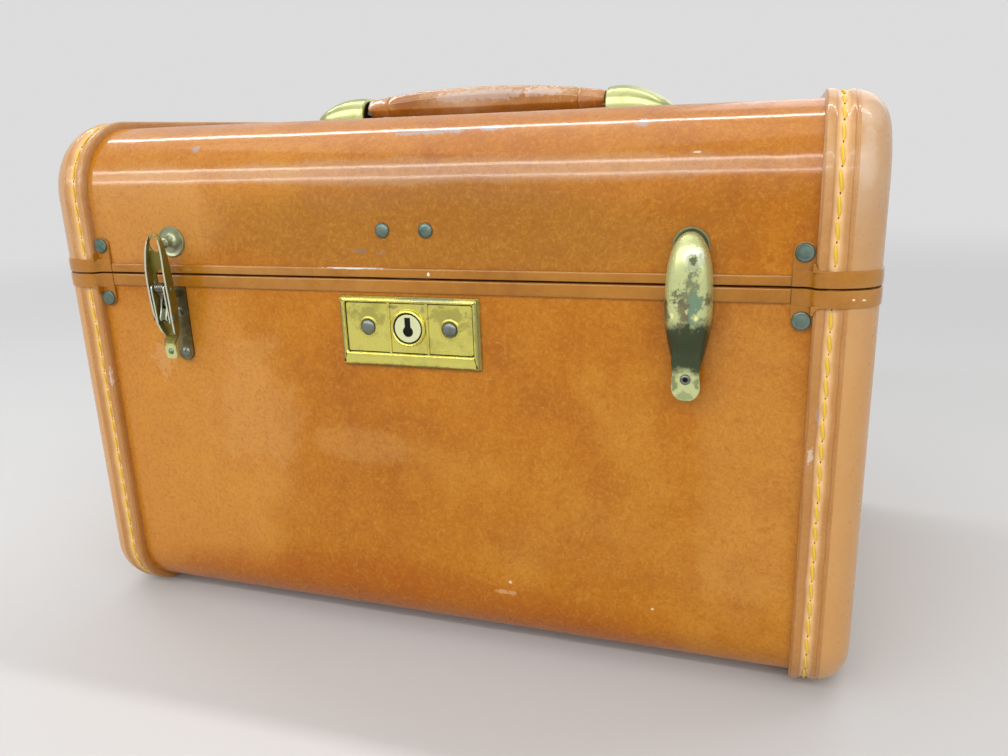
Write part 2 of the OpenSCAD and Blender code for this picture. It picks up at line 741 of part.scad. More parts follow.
// Two arms on the pins with a bridge across their front, drawn about the upper pin
module link_body() {
  arm_in = 1.05;
  arm_t = 0.65;
  difference() {
    union() {
      for (x = [-arm_in - arm_t, arm_in]) translate([x, 0, 0]) rotate([90, 0, 90])
        linear_extrude(height = arm_t) {
          circle(1.4);
          translate([0, -link_l]) circle(1.4);
          translate([-1.4, -link_l]) square([2.8, link_l]);
        }
      translate([-arm_in - eps, -1.4, -link_l - 1]) cube([2 * arm_in + 2 * eps, 0.5, 4.6]);
    }
    for (z = [0, -link_l]) translate([-3, 0, z]) rotate([0, 90, 0])
      cylinder(r = pin_r + fit, h = 6, $fn = 32);
  }
}
module latch_base(s) {
  r = base_w / 2;
  color("darkgoldenrod") translate([s * latch_x, case_y - hd, 0]) difference() {
    union() {
      rotate([90, 0, 0]) linear_extrude(height = base_t) {
        translate([0, base_bottom + r]) circle(r);
        translate([-r, base_bottom + r]) square([base_w, base_top - base_bottom - r]);
      }
      translate([-0.8, 0, 0]) rotate([90, 0, 90]) linear_extrude(height = 1.6) {
        translate([-pivot_u, pivot_z]) circle(1.4);
        translate([-pivot_u, pivot_z - 1.4]) square([pivot_u - 0.5, 2.8]);
      }
    }
    translate([-2, -pivot_u, pivot_z]) rotate([0, 90, 0])
      cylinder(r = pin_r, h = 4, $fn = 32);
    for (z = [base_bottom + r, lever_z + 1]) translate([0, 1, z]) rotate([90, 0, 0])
      cylinder(r = 1.5 + fit, h = 4);
  }
}
module latch_base_pins() {
  color("dimgray") for (s = [-1, 1])
    translate([s * latch_x - 1.75, case_y - hd - pivot_u, pivot_z]) rotate([0, 90, 0])
      cylinder(r = pin_r, h = 3.5, $fn = 32);
}
module latch_base_rivets() {
  color("dimgray") for (s = [-1, 1]) {
    front_rivet(s * latch_x, base_bottom + base_w / 2, base_t, 2.2, 1.1, 1.5, base_t + wall);
    front_rivet(s * latch_x, lever_z + 1, base_t, 1.9, 0.4, 1.5, base_t + wall);
  }
}
module place_open() {
  translate([-latch_x, case_y - hd - open_u, open_z]) rotate([lever_open, 0, 0]) children();
}
module place_closed() { translate([latch_x, case_y - hd - lever_u, lever_z]) children(); }
module place_link(s, a) {
  translate([s * latch_x, case_y - hd - pivot_u, pivot_z]) rotate([-a, 0, 0]) link_body();
}
module left_latch_link() { color("slategray") place_link(-1, link_open); }
module right_latch_link() { color("slategray") place_link(1, -link_closed); }
module left_latch_lever() { color("darkkhaki") place_open() lever_body(); }
module right_latch_lever() { color("darkkhaki") place_closed() lever_body(); }
module left_latch_pins() {
  color("dimgray") place_open() {
    lever_pins(1.5);
    tail_rivet(tail_w + lever_t, 1.3, 0.8);
  }
}
module right_latch_pins() {
  color("dimgray") place_closed() {
    lever_pins(1.1);
    tail_rivet(tail_w + lever_t + cover_t, 1.75, 0.7);
  }
}
module left_latch_spring() { color("black") place_open() spring_tube(); }
module right_latch_spring() { color("black") place_closed() spring_tube(); }
module right_latch_cover() { color("gold") place_closed() cover_shape(); }
module keepers() {
  color("darkkhaki") for (s = [-1, 1])
    translate([s * latch_x, case_y - hd, keeper_z]) rotate([90, 0, 0]) {
      rotate_extrude() polygon([
        [0, 0], [keeper_r - 0.3, 0], [keeper_r, 0.3], [keeper_r, 0.8], [keeper_r - 0.5, 1],
        [keeper_r - 1.2, 0.7], [2.9, 0.7], [2.3, 1.2], [1.5, 2], [1.5, 4.2], [2.1, 4.5],
        [2.1, 5.1], [1.4, 5.6], [0, 5.7]
      ]);
      translate([0, 0, -wall]) cylinder(r = 1.6, h = wall + eps);
    }
}

// Handle
module handle_grip() {
  c = grip_bevel;
  w = grip_w / 2;
  color("saddlebrown") translate([0, case_y, 0]) intersection() {
    translate([-grip_half, 0, 0]) rotate([90, 0, 90]) linear_extrude(height = grip_l) polygon([
      [-w + c, grip_low], [w - c, grip_low], [w, grip_low + c], [w, grip_top],
      [-w, grip_top], [-w, grip_low + c]
    ]);
    rotate([90, 0, 0]) translate([0, grip_top - arch_r, 0]) rotate_extrude($fn = 360) polygon([
      [0, -w], [arch_r - c, -w], [arch_r, -w + c], [arch_r, w - c], [arch_r - c, w], [0, w]
    ]);
  }
}
module handle_ferrules() {
  c = 2.6;
  w = grip_w - 1.4;
  end_w = grip_w - 4;
  z1 = grip_top - grip_rise - 0.3;
  z2 = z1 - 1.2;
  color("sienna") for (s = [-1, 1]) at_side(s) difference() {
    intersection() {
      translate([grip_half, case_y, 0]) rotate([90, 0, 90])
        linear_extrude(height = ferrule_l) polygon([
          [-w / 2 + c, grip_low + 0.4], [w / 2 - c, grip_low + 0.4], [w / 2, grip_low + c],
          [w / 2, z1 - c], [w / 2 - c, z1], [-w / 2 + c, z1], [-w / 2, z1 - c],
          [-w / 2, grip_low + c]
        ]);
      translate([0, case_y + w, 0]) rotate([90, 0, 0]) linear_extrude(height = 2 * w) polygon([
        [grip_half, grip_low], [ferrule_x, grip_low], [ferrule_x, z2], [grip_half, z1]
      ]);
      translate([0, case_y, 0]) linear_extrude(height = 2 * z1) polygon([
        [grip_half, -w / 2], [ferrule_x, -end_w / 2], [ferrule_x, end_w / 2],
        [grip_half, w / 2]
      ]);
    }
    translate([grip_half - 1, case_y - strap_w / 2 - fit, strap_z - fit])
      cube([ferrule_l + 2, strap_w + 2 * fit, strap_t + 2 * fit]);
  }
}
module handle_strap() {
  color("gray") for (s = [-1, 1]) at_side(s) {
    translate([grip_half, case_y - strap_w / 2, strap_z])
      cube([hcap_x + 3.4 - grip_half, strap_w, strap_t]);
    translate([hcap_x + 1.4, case_y - strap_w / 2 - 1, strap_z]) cube([2, strap_w + 2, strap_t]);
  }
}
module hcap_solid(d) {
  l = hcap_l - 2 * d;
  h = hcap_h - d;
  w = hcap_w / 2 - d;
  c = 6.8 - d;
  intersection() {
    rotate([90, 0, 90]) linear_extrude(height = l) {
      translate([-w, 0]) square([2 * w, h - c]);
      translate([c - w, 0]) square([2 * (w - c), h]);
      for (s = [-1, 1]) translate([s * (w - c), h - c]) circle(c);
    }
    translate([0, w, 0]) rotate([90, 0, 0]) linear_extrude(height = 2 * w)
      polygon(concat([[0, 0]], [for (i = [0:14]) let (q = i / 14)
        [l * q, max(0.6, h * pow(1 - pow(q, 2.3), 0.6))]], [[l, 0]]));
    linear_extrude(height = h) union() {
      translate([0, -w]) square([l - w + 2, 2 * w]);
      translate([l - w, 0]) circle(w);
    }
  }
}
module handle_cap(s) {
  color("gold") at_side(s) translate([hcap_x, case_y, lid_top]) {
    difference() {
      hcap_solid(0);
      translate([shell, 0, -eps]) hcap_solid(shell);
      translate([-1, -strap_w / 2 - 0.3, strap_z - lid_top - 0.3])
        cube([shell + 2, strap_w + 0.6, strap_t + grip_lift + 0.6]);
    }
    for (d = [9, 21]) translate([d, 0, -wall]) cylinder(r = 1.5, h = wall + (d < 12 ? 9.5 : 6.2));
  }
}

// Hinges
module leaf_profile() {
  polygon([
    [hd, -leaf_h], [hd, -6.8], [hd + rim_out, -5.6], [hd + rim_out, -1.6],
    [hd + rim_out + leaf_t, -1.6], [hd + rim_out + leaf_t, -6],
    [hd + leaf_t, -7.2], [hd + leaf_t, -leaf_h]
  ]);
}
module knuckle(x, l) {
  translate([x, axis_y, 0]) rotate([0, 90, 0]) cylinder(r = barrel_r, h = l);
  translate([x, hd + rim_out, -1.7]) cube([l, axis_out - rim_out, 1.6]);
}
module leaves(upper) {
  k = hinge_l / 5;
  gap = 0.15;
  mirror([0, 0, upper ? 1 : 0]) for (s = [-1, 1]) translate([s * hinge_x - hinge_l / 2, 0, 0])
    difference() {
      union() {
        difference() {
          rotate([90, 0, 90]) linear_extrude(height = hinge_l) leaf_profile();
          for (i = [0:4]) if ((i % 2 == 0) == upper)
            translate([i * k - gap, hd, -2]) cube([k + 2 * gap, 6, 4]);
        }
        for (i = [0:4]) if ((i % 2 == 0) != upper) knuckle(i * k + gap, k - 2 * gap);
      }
      translate([-1, axis_y, 0]) rotate([0, 90, 0]) cylinder(r = 1 + fit, h = hinge_l + 2);
      for (p = hinge_rivets) translate([hinge_l / 2 + p[0], hd - 1, -leaf_rivet])
        rotate([-90, 0, 0]) cylinder(r = 1.2 + fit, h = 4);
    }
}
module body_hinge_leaves() {
  color("darkgoldenrod") translate([0, case_y, axis_z]) leaves(false);
}
module lid_hinge_leaves() {
  color("darkgoldenrod") translate([0, case_y, axis_z]) leaves(true);
}
module hinge_pins() {
  color("dimgray") for (s = [-1, 1])
    translate([s * hinge_x - hinge_l / 2 - 0.6, case_y + axis_y, axis_z]) rotate([0, 90, 0])
      cylinder(r = 1, h = hinge_l + 1.2);
}
module leaf_rivets(z) {
  for (s = [-1, 1]) for (p = hinge_rivets)
    back_rivet(s * hinge_x + p[0], z, leaf_t, 2.2, 1, 1.2, leaf_t + wall);
}
module body_hinge_rivets() { color("dimgray") leaf_rivets(axis_z - leaf_rivet); }
module lid_hinge_rivets() { color("dimgray") leaf_rivets(axis_z + leaf_rivet); }

// Inside
module plan_round(x, y, r) {
  square([2 * x, 2 * (y - r)], center = true);
  square([2 * (x - r), 2 * y], center = true);
  for (a = [-1, 1]) for (b = [-1, 1]) translate([a * (x - r), b * (y - r)]) circle(r);
}
module ring(x, y, r, t) {
  difference() {
    plan_round(x, y, r);
    plan_round(x - t, y - t, r - t);
  }
}
module body_frame() {
  c = 0.5;
  color("wheat") difference() {
    union() {
      translate([0, case_y, body_h - frame_low]) linear_extrude(height = frame_low - 1)
        ring(line_x, inner_y, cap_in_r, frame_t);
      translate([0, case_y, body_h - 1]) linear_extrude(height = 1 + tongue_h)
        ring(line_x - c, inner_y - c, cap_in_r - c, frame_t - c);
    }
    translate([-21, case_y - hd, body_h - frame_low - 1]) cube([42, 8, frame_low + tongue_h + 2]);
  }
}
module body_lining() {
  color("ivory") difference() {
    union() {
      body_run() skin_section(lining_t);
      for (s = [-1, 1]) at_side(s) body_plate(line_x - lining_t, line_x, -cap_o);
    }
    translate([-hw, -hd * 2, body_h - frame_low - fit]) cube([case_w, case_d * 2, 60]);
    translate([-21, case_y - hd, case_z0 - 1]) cube([42, 8, 40]);
  }
}
module lid_lining() {
  color("ivory") difference() {
    union() {
      lid_run() skin_section(lining_t);
      for (s = [-1, 1]) at_side(s) lid_plate(line_x - lining_t, line_x, -cap_o);
    }
    translate([-hw, -hd * 2, body_h + tongue_h + 1 - 60]) cube([case_w, case_d * 2, 60]);
    translate([-13, case_y - hd, body_h + 1]) cube([26, 8, 27]);
  }
}
module body_pockets() {
  t = 4;
  y = inner_y - lining_t;
  color("linen") {
    translate([-110, case_y + y - t, 32]) cube([220, t, 62]);
    for (s = [-1, 1]) at_side(s) translate([line_x - lining_t - t, case_y - 60, 32])
      cube([t, 120, 62]);
  }
}
module mirror_plate(w, d, z, h) {
  translate([0, case_y, z]) linear_extrude(height = h) plan_round(w / 2, d / 2, 6);
}
module lid_mirror() {
  color("lightblue") mirror_plate(mirror_w, mirror_d, inner_top - lining_t - 3, 3);
}
module mirror_frame() {
  z = inner_top - lining_t - 4.4;
  color("ivory") difference() {
    mirror_plate(mirror_w + 16, mirror_d + 12, z, 4.4);
    mirror_plate(mirror_w + 0.2, mirror_d + 0.2, z + 1.4, 4);
    mirror_plate(mirror_w - 6, mirror_d - 6, z - 1, 4);
  }
}

body_wrap();
body_end(-1);  // left_body_end
body_end(1);  // right_body_end
body_binding(-1);  // left_body_binding
body_binding(1);  // right_body_binding
body_stitches();
body_front_rim();
body_back_rim();
body_band(-1);  // left_body_band
body_band(1);  // right_body_band
body_band_rivets();
body_frame();
body_lining();
body_pockets();
lock_plate();
lock_plate_rivets();
lock_case();
latch_base(-1);  // left_latch_base
latch_base(1);  // right_latch_base
latch_base_rivets();
latch_base_pins();
body_hinge_leaves();
hinge_pins();
body_hinge_rivets();
lid_wrap();
lid_end(-1);  // left_lid_end
lid_end(1);  // right_lid_end
lid_binding(-1);  // left_lid_binding
lid_binding(1);  // right_lid_binding
lid_stitches();
lid_front_rim();
lid_back_rim();
lid_band(-1);  // left_lid_band
lid_band(1);  // right_lid_band
lid_band_rivets();
keepers();
lock_hasp();
hasp_rivets();
lid_lining();
lid_mirror();
mirror_frame();
handle_cap(-1);  // left_handle_cap
handle_cap(1);  // right_handle_cap
lid_hinge_leaves();
lid_hinge_rivets();
handle_grip();
handle_ferrules();
handle_strap();
left_latch_link();
left_latch_lever();
left_latch_pins();
left_latch_spring();
right_latch_link();
right_latch_lever();
right_latch_pins();
right_latch_spring();
right_latch_cover();
lock_cylinder();
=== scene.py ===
"""Looks of a small hard-sided train case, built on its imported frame."""

from __future__ import annotations

import json
import logging
import math
import random
from dataclasses import dataclass
from enum import Enum
from typing import Callable, Iterable, Sequence

import bmesh
import bpy
from mathutils import Matrix, Vector, noise

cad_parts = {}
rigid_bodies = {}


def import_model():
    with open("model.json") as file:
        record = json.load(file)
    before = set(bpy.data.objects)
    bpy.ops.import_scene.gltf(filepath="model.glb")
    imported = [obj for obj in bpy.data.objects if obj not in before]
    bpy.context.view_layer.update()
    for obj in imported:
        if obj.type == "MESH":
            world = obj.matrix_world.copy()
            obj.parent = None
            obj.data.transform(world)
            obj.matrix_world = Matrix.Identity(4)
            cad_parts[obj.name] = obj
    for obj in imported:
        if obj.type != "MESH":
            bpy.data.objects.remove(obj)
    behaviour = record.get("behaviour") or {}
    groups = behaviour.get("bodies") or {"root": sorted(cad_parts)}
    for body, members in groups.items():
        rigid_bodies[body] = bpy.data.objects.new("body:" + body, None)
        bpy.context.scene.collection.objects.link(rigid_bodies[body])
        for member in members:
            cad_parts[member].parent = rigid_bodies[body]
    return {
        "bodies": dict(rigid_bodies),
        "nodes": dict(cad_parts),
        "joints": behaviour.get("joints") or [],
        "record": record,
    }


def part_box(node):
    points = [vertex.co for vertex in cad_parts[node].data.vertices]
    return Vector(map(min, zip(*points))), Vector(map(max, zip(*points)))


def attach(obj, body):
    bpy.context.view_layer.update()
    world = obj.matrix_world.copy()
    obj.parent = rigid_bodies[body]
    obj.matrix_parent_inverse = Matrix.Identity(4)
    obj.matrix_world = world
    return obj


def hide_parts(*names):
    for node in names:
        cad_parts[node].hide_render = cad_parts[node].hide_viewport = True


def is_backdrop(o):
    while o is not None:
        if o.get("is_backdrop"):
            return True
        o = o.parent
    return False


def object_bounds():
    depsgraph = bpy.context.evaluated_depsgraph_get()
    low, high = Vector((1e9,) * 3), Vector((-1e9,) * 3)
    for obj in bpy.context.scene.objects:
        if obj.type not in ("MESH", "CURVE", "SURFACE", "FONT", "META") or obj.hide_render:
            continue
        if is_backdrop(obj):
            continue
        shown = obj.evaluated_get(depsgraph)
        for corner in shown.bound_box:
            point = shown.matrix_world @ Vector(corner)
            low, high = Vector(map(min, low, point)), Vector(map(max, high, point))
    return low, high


LOG = logging.getLogger("train_case")
MM = 0.001
Colour = tuple[float, float, float]
Pair = tuple[float, float]
Point = tuple[float, float, float]
Socket = bpy.types.NodeSocket


# Node trees


class Tree:
    """Short-hand for filling one node tree."""

    def __init__(self, tree: bpy.types.NodeTree) -> None:
        """Keeps the tree.

        Args:
            tree: The node tree that later calls add to.
        """
        self.tree = tree

    def add(self, kind: str, inputs: dict | None = None, **settings: object) -> bpy.types.Node:
        """Adds a node, sets it up and links what feeds it.

        Args:
            kind: The node's type name.
            inputs: Input names or numbers, each with a constant or a socket.
            **settings: Plain properties of the node.

        Returns:
            The new node.
        """
        made = self.tree.nodes.new(kind)
        for name, value in settings.items():
            setattr(made, name, value)
        for key, value in (inputs or {}).items():
            self.feed(made.inputs[key], value)
        return made

    def feed(self, socket: Socket, value: object) -> None:
        """Links a socket to another, or sets its constant."""
        if isinstance(value, Socket):
            self.tree.links.new(value, socket)
        elif isinstance(value, tuple) and len(value) == 3 and len(socket.default_value) == 4:
            socket.default_value = (*value, 1.0)
        else:
            socket.default_value = value

    def math(self, how: str, a: object, b: object = 0.0, clamp: bool = False) -> Socket:
        """Adds a Math node and returns its result."""
        return self.add("ShaderNodeMath", {0: a, 1: b}, operation=how, use_clamp=clamp).outputs[0]

    def mix(self, fac: object, a: object, b: object, how: str = "MIX") -> Socket:
        """Mixes two colours and returns the result."""
        made = self.add("ShaderNodeMix", {0: fac, 6: a, 7: b}, data_type="RGBA", blend_type=how)
        return made.outputs[2]

    def noise(self, vector: object, scale: object, detail: float = 3.0, rough: float = 0.5, twist: float = 0.0) -> Socket:
        """Adds a noise texture and returns its value."""
        values = {"Vector": vector, "Scale": scale, "Detail": detail, "Roughness": rough, "Distortion": twist}
        return self.add("ShaderNodeTexNoise", values).outputs["Fac"]

    def ramp(self, fac: object, low: object, high: object, smooth: bool = True) -> Socket:
        """Maps a value from low..high to 0..1, clamped."""
        made = self.add(
            "ShaderNodeMapRange",
            {"Value": fac, "From Min": low, "From Max": high},
            interpolation_type="SMOOTHSTEP" if smooth else "LINEAR",
        )
        return made.outputs["Result"]

    def vector(self, how: str, a: object, b: object = (0.0, 0.0, 0.0)) -> bpy.types.Node:
        """Adds a Vector Math node."""
        return self.add("ShaderNodeVectorMath", {0: a, 1: b}, operation=how)

    def place(self) -> Socket:
        """Returns the object coordinates."""
        return self.add("ShaderNodeTexCoord").outputs["Object"]

    def axes(self, vector: Socket) -> list[Socket]:
        """Splits a vector into its three parts."""
        return list(self.add("ShaderNodeSeparateXYZ", {0: vector}).outputs)

    def group(self, tree: bpy.types.NodeTree, inputs: dict) -> Socket:
        """Places a node group with its own values.

        Args:
            tree: The group's tree.
            inputs: Values or sockets for its inputs.

        Returns:
            The group's first output.
        """
        made = self.tree.nodes.new("ShaderNodeGroup")
        made.node_tree = tree
        for key, value in inputs.items():
            self.feed(made.inputs[key], value)
        return made.outputs[0]

    def bump(self, height: Socket, strength: float, distance: float) -> Socket:
        """Adds a Bump node and returns its normal."""
        made = self.add("ShaderNodeBump", {"Height": height, "Strength": strength, "Distance": distance})
        return made.outputs[0]


def new_group(name: str, inputs: dict[str, object], output: str) -> tuple[Tree, dict[str, Socket], Socket]:
    """Starts a shader node group with one output value.

    Args:
        name: The group's name.
        inputs: Input names with a default: a float, or a 3-tuple for a vector.
        output: The output's name.

    Returns:
        The tree helper, the input sockets by name, and the output socket to link to.
    """
    tree = bpy.data.node_groups.new(name, "ShaderNodeTree")
    for key, value in inputs.items():
        kind = "NodeSocketVector" if isinstance(value, tuple) else "NodeSocketFloat"
        tree.interface.new_socket(key, in_out="INPUT", socket_type=kind).default_value = value
    tree.interface.new_socket(output, in_out="OUTPUT", socket_type="NodeSocketFloat")
    start, end = tree.nodes.new("NodeGroupInput"), tree.nodes.new("NodeGroupOutput")
    return Tree(tree), {key: start.outputs[key] for key in inputs}, end.inputs[0]


class Effects:
    """The shared shader effects, each built once."""

    def __init__(self) -> None:
        """Builds every group."""
        self.clouds = self._clouds()
        self.grain = self._grain()
        self.spot = self._spot()
        self.patches = self._patches()
        self.hairs = self._hairs()
        self.dust = self._dust()
        self.fibres = self._fibres()

    @staticmethod
    def _clouds() -> bpy.types.NodeTree:
        """Clouded dye: broad clouds broken up by finer ones, as a mask."""
        t, i, o = new_group("clouded_dye", {"Vector": (0.0, 0.0, 0.0), "Scale": 20.0, "Contrast": 1.0}, "Mask")
        broad = t.noise(i["Vector"], i["Scale"], 2.0, 0.5)
        mid = t.noise(i["Vector"], t.math("MULTIPLY", i["Scale"], 4.3), 4.0, 0.62)
        both = t.math("ADD", t.math("MULTIPLY", broad, 0.6), t.math("MULTIPLY", mid, 0.4))
        out = t.math("MULTIPLY", t.math("SUBTRACT", both, 0.5), i["Contrast"])
        t.tree.links.new(t.math("ADD", out, 0.5, clamp=True), o)
        return t.tree

    @staticmethod
    def _grain() -> bpy.types.NodeTree:
        """Pressed grain over a soft unevenness, as a height."""
        t, i, o = new_group(
            "pressed_grain",
            {"Vector": (0.0, 0.0, 0.0), "Cells": 1500.0, "Depth": 0.3, "Unevenness": 30.0, "Swell": 1.0},
            "Height",
        )
        cells = t.add("ShaderNodeTexVoronoi", {"Vector": i["Vector"], "Scale": i["Cells"]}, feature="SMOOTH_F1")
        fine = t.noise(i["Vector"], t.math("MULTIPLY", i["Cells"], 0.6), 3.0, 0.6)
        small = t.math("MULTIPLY", t.math("ADD", cells.outputs["Distance"], fine), i["Depth"])
        big = t.math("MULTIPLY", t.noise(i["Vector"], i["Unevenness"], 1.5, 0.4), i["Swell"])
        t.tree.links.new(t.math("ADD", small, big), o)
        return t.tree

    @staticmethod
    def _spot() -> bpy.types.NodeTree:
        """One mark at a place on the object, with a ragged edge, as a mask."""
        t, i, o = new_group(
            "mark_at_place",
            {"Vector": (0.0, 0.0, 0.0), "Centre": (0.0, 0.0, 0.0), "Size": (0.01, 0.01, 0.01), "Ragged": 0.5, "Scale": 300.0},
            "Mask",
        )
        unit = t.vector("DIVIDE", t.vector("SUBTRACT", i["Vector"], i["Centre"]).outputs[0], i["Size"])
        length = t.vector("LENGTH", unit.outputs[0]).outputs["Value"]
        rag = t.math("SUBTRACT", t.noise(i["Vector"], i["Scale"], 4.0, 0.7), 0.5)
        edge = t.math("ADD", length, t.math("MULTIPLY", rag, t.math("MULTIPLY", i["Ragged"], 3.0)))
        t.tree.links.new(t.ramp(edge, 1.0, 0.6), o)
        return t.tree

    @staticmethod
    def _patches() -> bpy.types.NodeTree:
        """Patches of wear or tarnish: thresholded noise, as a mask."""
        t, i, o = new_group(
            "worn_patches", {"Vector": (0.0, 0.0, 0.0), "Scale": 120.0, "Amount": 0.4, "Softness": 0.08}, "Mask"
        )
        low = t.math("SUBTRACT", 1.0, i["Amount"])
        made = t.ramp(t.noise(i["Vector"], i["Scale"], 6.0, 0.65), low, t.math("ADD", low, i["Softness"]))
        t.tree.links.new(made, o)
        return t.tree

    @staticmethod
    def _hairs() -> bpy.types.NodeTree:
        """Thin scratches or fibres along one direction, as a mask."""
        t, i, o = new_group(
            "thin_hairs", {"Vector": (0.0, 0.0, 0.0), "Stretch": (1.0, 0.03, 1.0), "Scale": 900.0, "Amount": 0.3}, "Mask"
        )
        line = t.noise(t.vector("MULTIPLY", i["Vector"], i["Stretch"]).outputs[0], i["Scale"], 2.0, 0.5)
        gate = t.noise(i["Vector"], t.math("MULTIPLY", i["Scale"], 0.06), 1.0, 0.5)
        kept = t.math("MULTIPLY", t.ramp(line, 0.62, 0.72), t.ramp(gate, 0.4, 0.65))
        t.tree.links.new(t.math("MULTIPLY", kept, i["Amount"]), o)
        return t.tree

    @staticmethod
    def _fibres() -> bpy.types.NodeTree:
        """Short felted fibres lying in all directions, as a mask about 0.5."""
        t, i, o = new_group("felted_fibres", {"Vector": (0.0, 0.0, 0.0), "Scale": 260.0, "Contrast": 3.0}, "Mask")
        broad = t.noise(i["Vector"], i["Scale"], 4.0, 0.75, 2.4)
        close = t.noise(i["Vector"], t.math("MULTIPLY", i["Scale"], 3.7), 3.0, 0.7, 1.2)
        both = t.math("ADD", t.math("MULTIPLY", broad, 0.6), t.math("MULTIPLY", close, 0.4))
        out = t.math("MULTIPLY", t.math("SUBTRACT", both, 0.5), i["Contrast"])
        t.tree.links.new(t.math("ADD", out, 0.5, clamp=True), o)
        return t.tree

    @staticmethod
    def _dust() -> bpy.types.NodeTree:
        """Small scattered specks, as a mask."""
        t, i, o = new_group("scattered_specks", {"Vector": (0.0, 0.0, 0.0), "Scale": 160.0, "Size": 0.1, "Amount": 0.5}, "Mask")
        cells = t.add("ShaderNodeTexVoronoi", {"Vector": i["Vector"], "Scale": i["Scale"]}, feature="F1")
        dot = t.ramp(cells.outputs["Distance"], i["Size"], 0.0)
        chosen = t.ramp(t.axes(cells.outputs["Color"])[0], t.math("SUBTRACT", 1.0, i["Amount"]), 1.0)
        t.tree.links.new(t.math("MULTIPLY", dot, chosen), o)
        return t.tree


# Finishes


@dataclass(frozen=True)
class Mark:
    """A mark at one place: scuffs, chips, stains, painted shade, painted highlights and painted reflections are all
    laid this way; centre and half sizes in metres.
    """

    centre: Point
    size: Point
    colour: Colour
    ragged: float = 0.5
    strength: float = 1.0
    rough: float = 0.25
    scale: float = 450.0


def new_material(name: str) -> tuple[bpy.types.Material, Tree, bpy.types.Node]:
    """Starts a node material.

    Args:
        name: The material's name.

    Returns:
        The material, its tree helper and its shader node.
    """
    mat = bpy.data.materials.new(name)
    mat.use_nodes = True
    return mat, Tree(mat.node_tree), mat.node_tree.nodes["Principled BSDF"]


def marked(
    t: Tree, fx: Effects, v: Socket, marks: Iterable[Mark], colour: Socket, rough: Socket, metal: Socket | None = None
) -> tuple[Socket, Socket, Socket | None]:
    """Lays marks over a finish.

    Args:
        t: The material's tree.
        fx: The shared effects.
        v: Object coordinates.
        marks: The marks, lowest first.
        colour: Colour below the marks.
        rough: Roughness below the marks.
        metal: Metallic value below the marks, if any.

    Returns:
        Colour, roughness and metallic value with the marks on.
    """
    for mark in marks:
        mask = t.group(
            fx.spot, {"Vector": v, "Centre": mark.centre, "Size": mark.size, "Ragged": mark.ragged, "Scale": mark.scale}
        )
        mask = t.math("MULTIPLY", mask, mark.strength)
        colour = t.mix(mask, colour, mark.colour)
        rough = t.math("ADD", rough, t.math("MULTIPLY", mask, mark.rough), clamp=True)
        if metal is not None:
            metal = t.math("SUBTRACT", metal, t.math("MULTIPLY", mask, 0.2), clamp=True)
    return colour, rough, metal


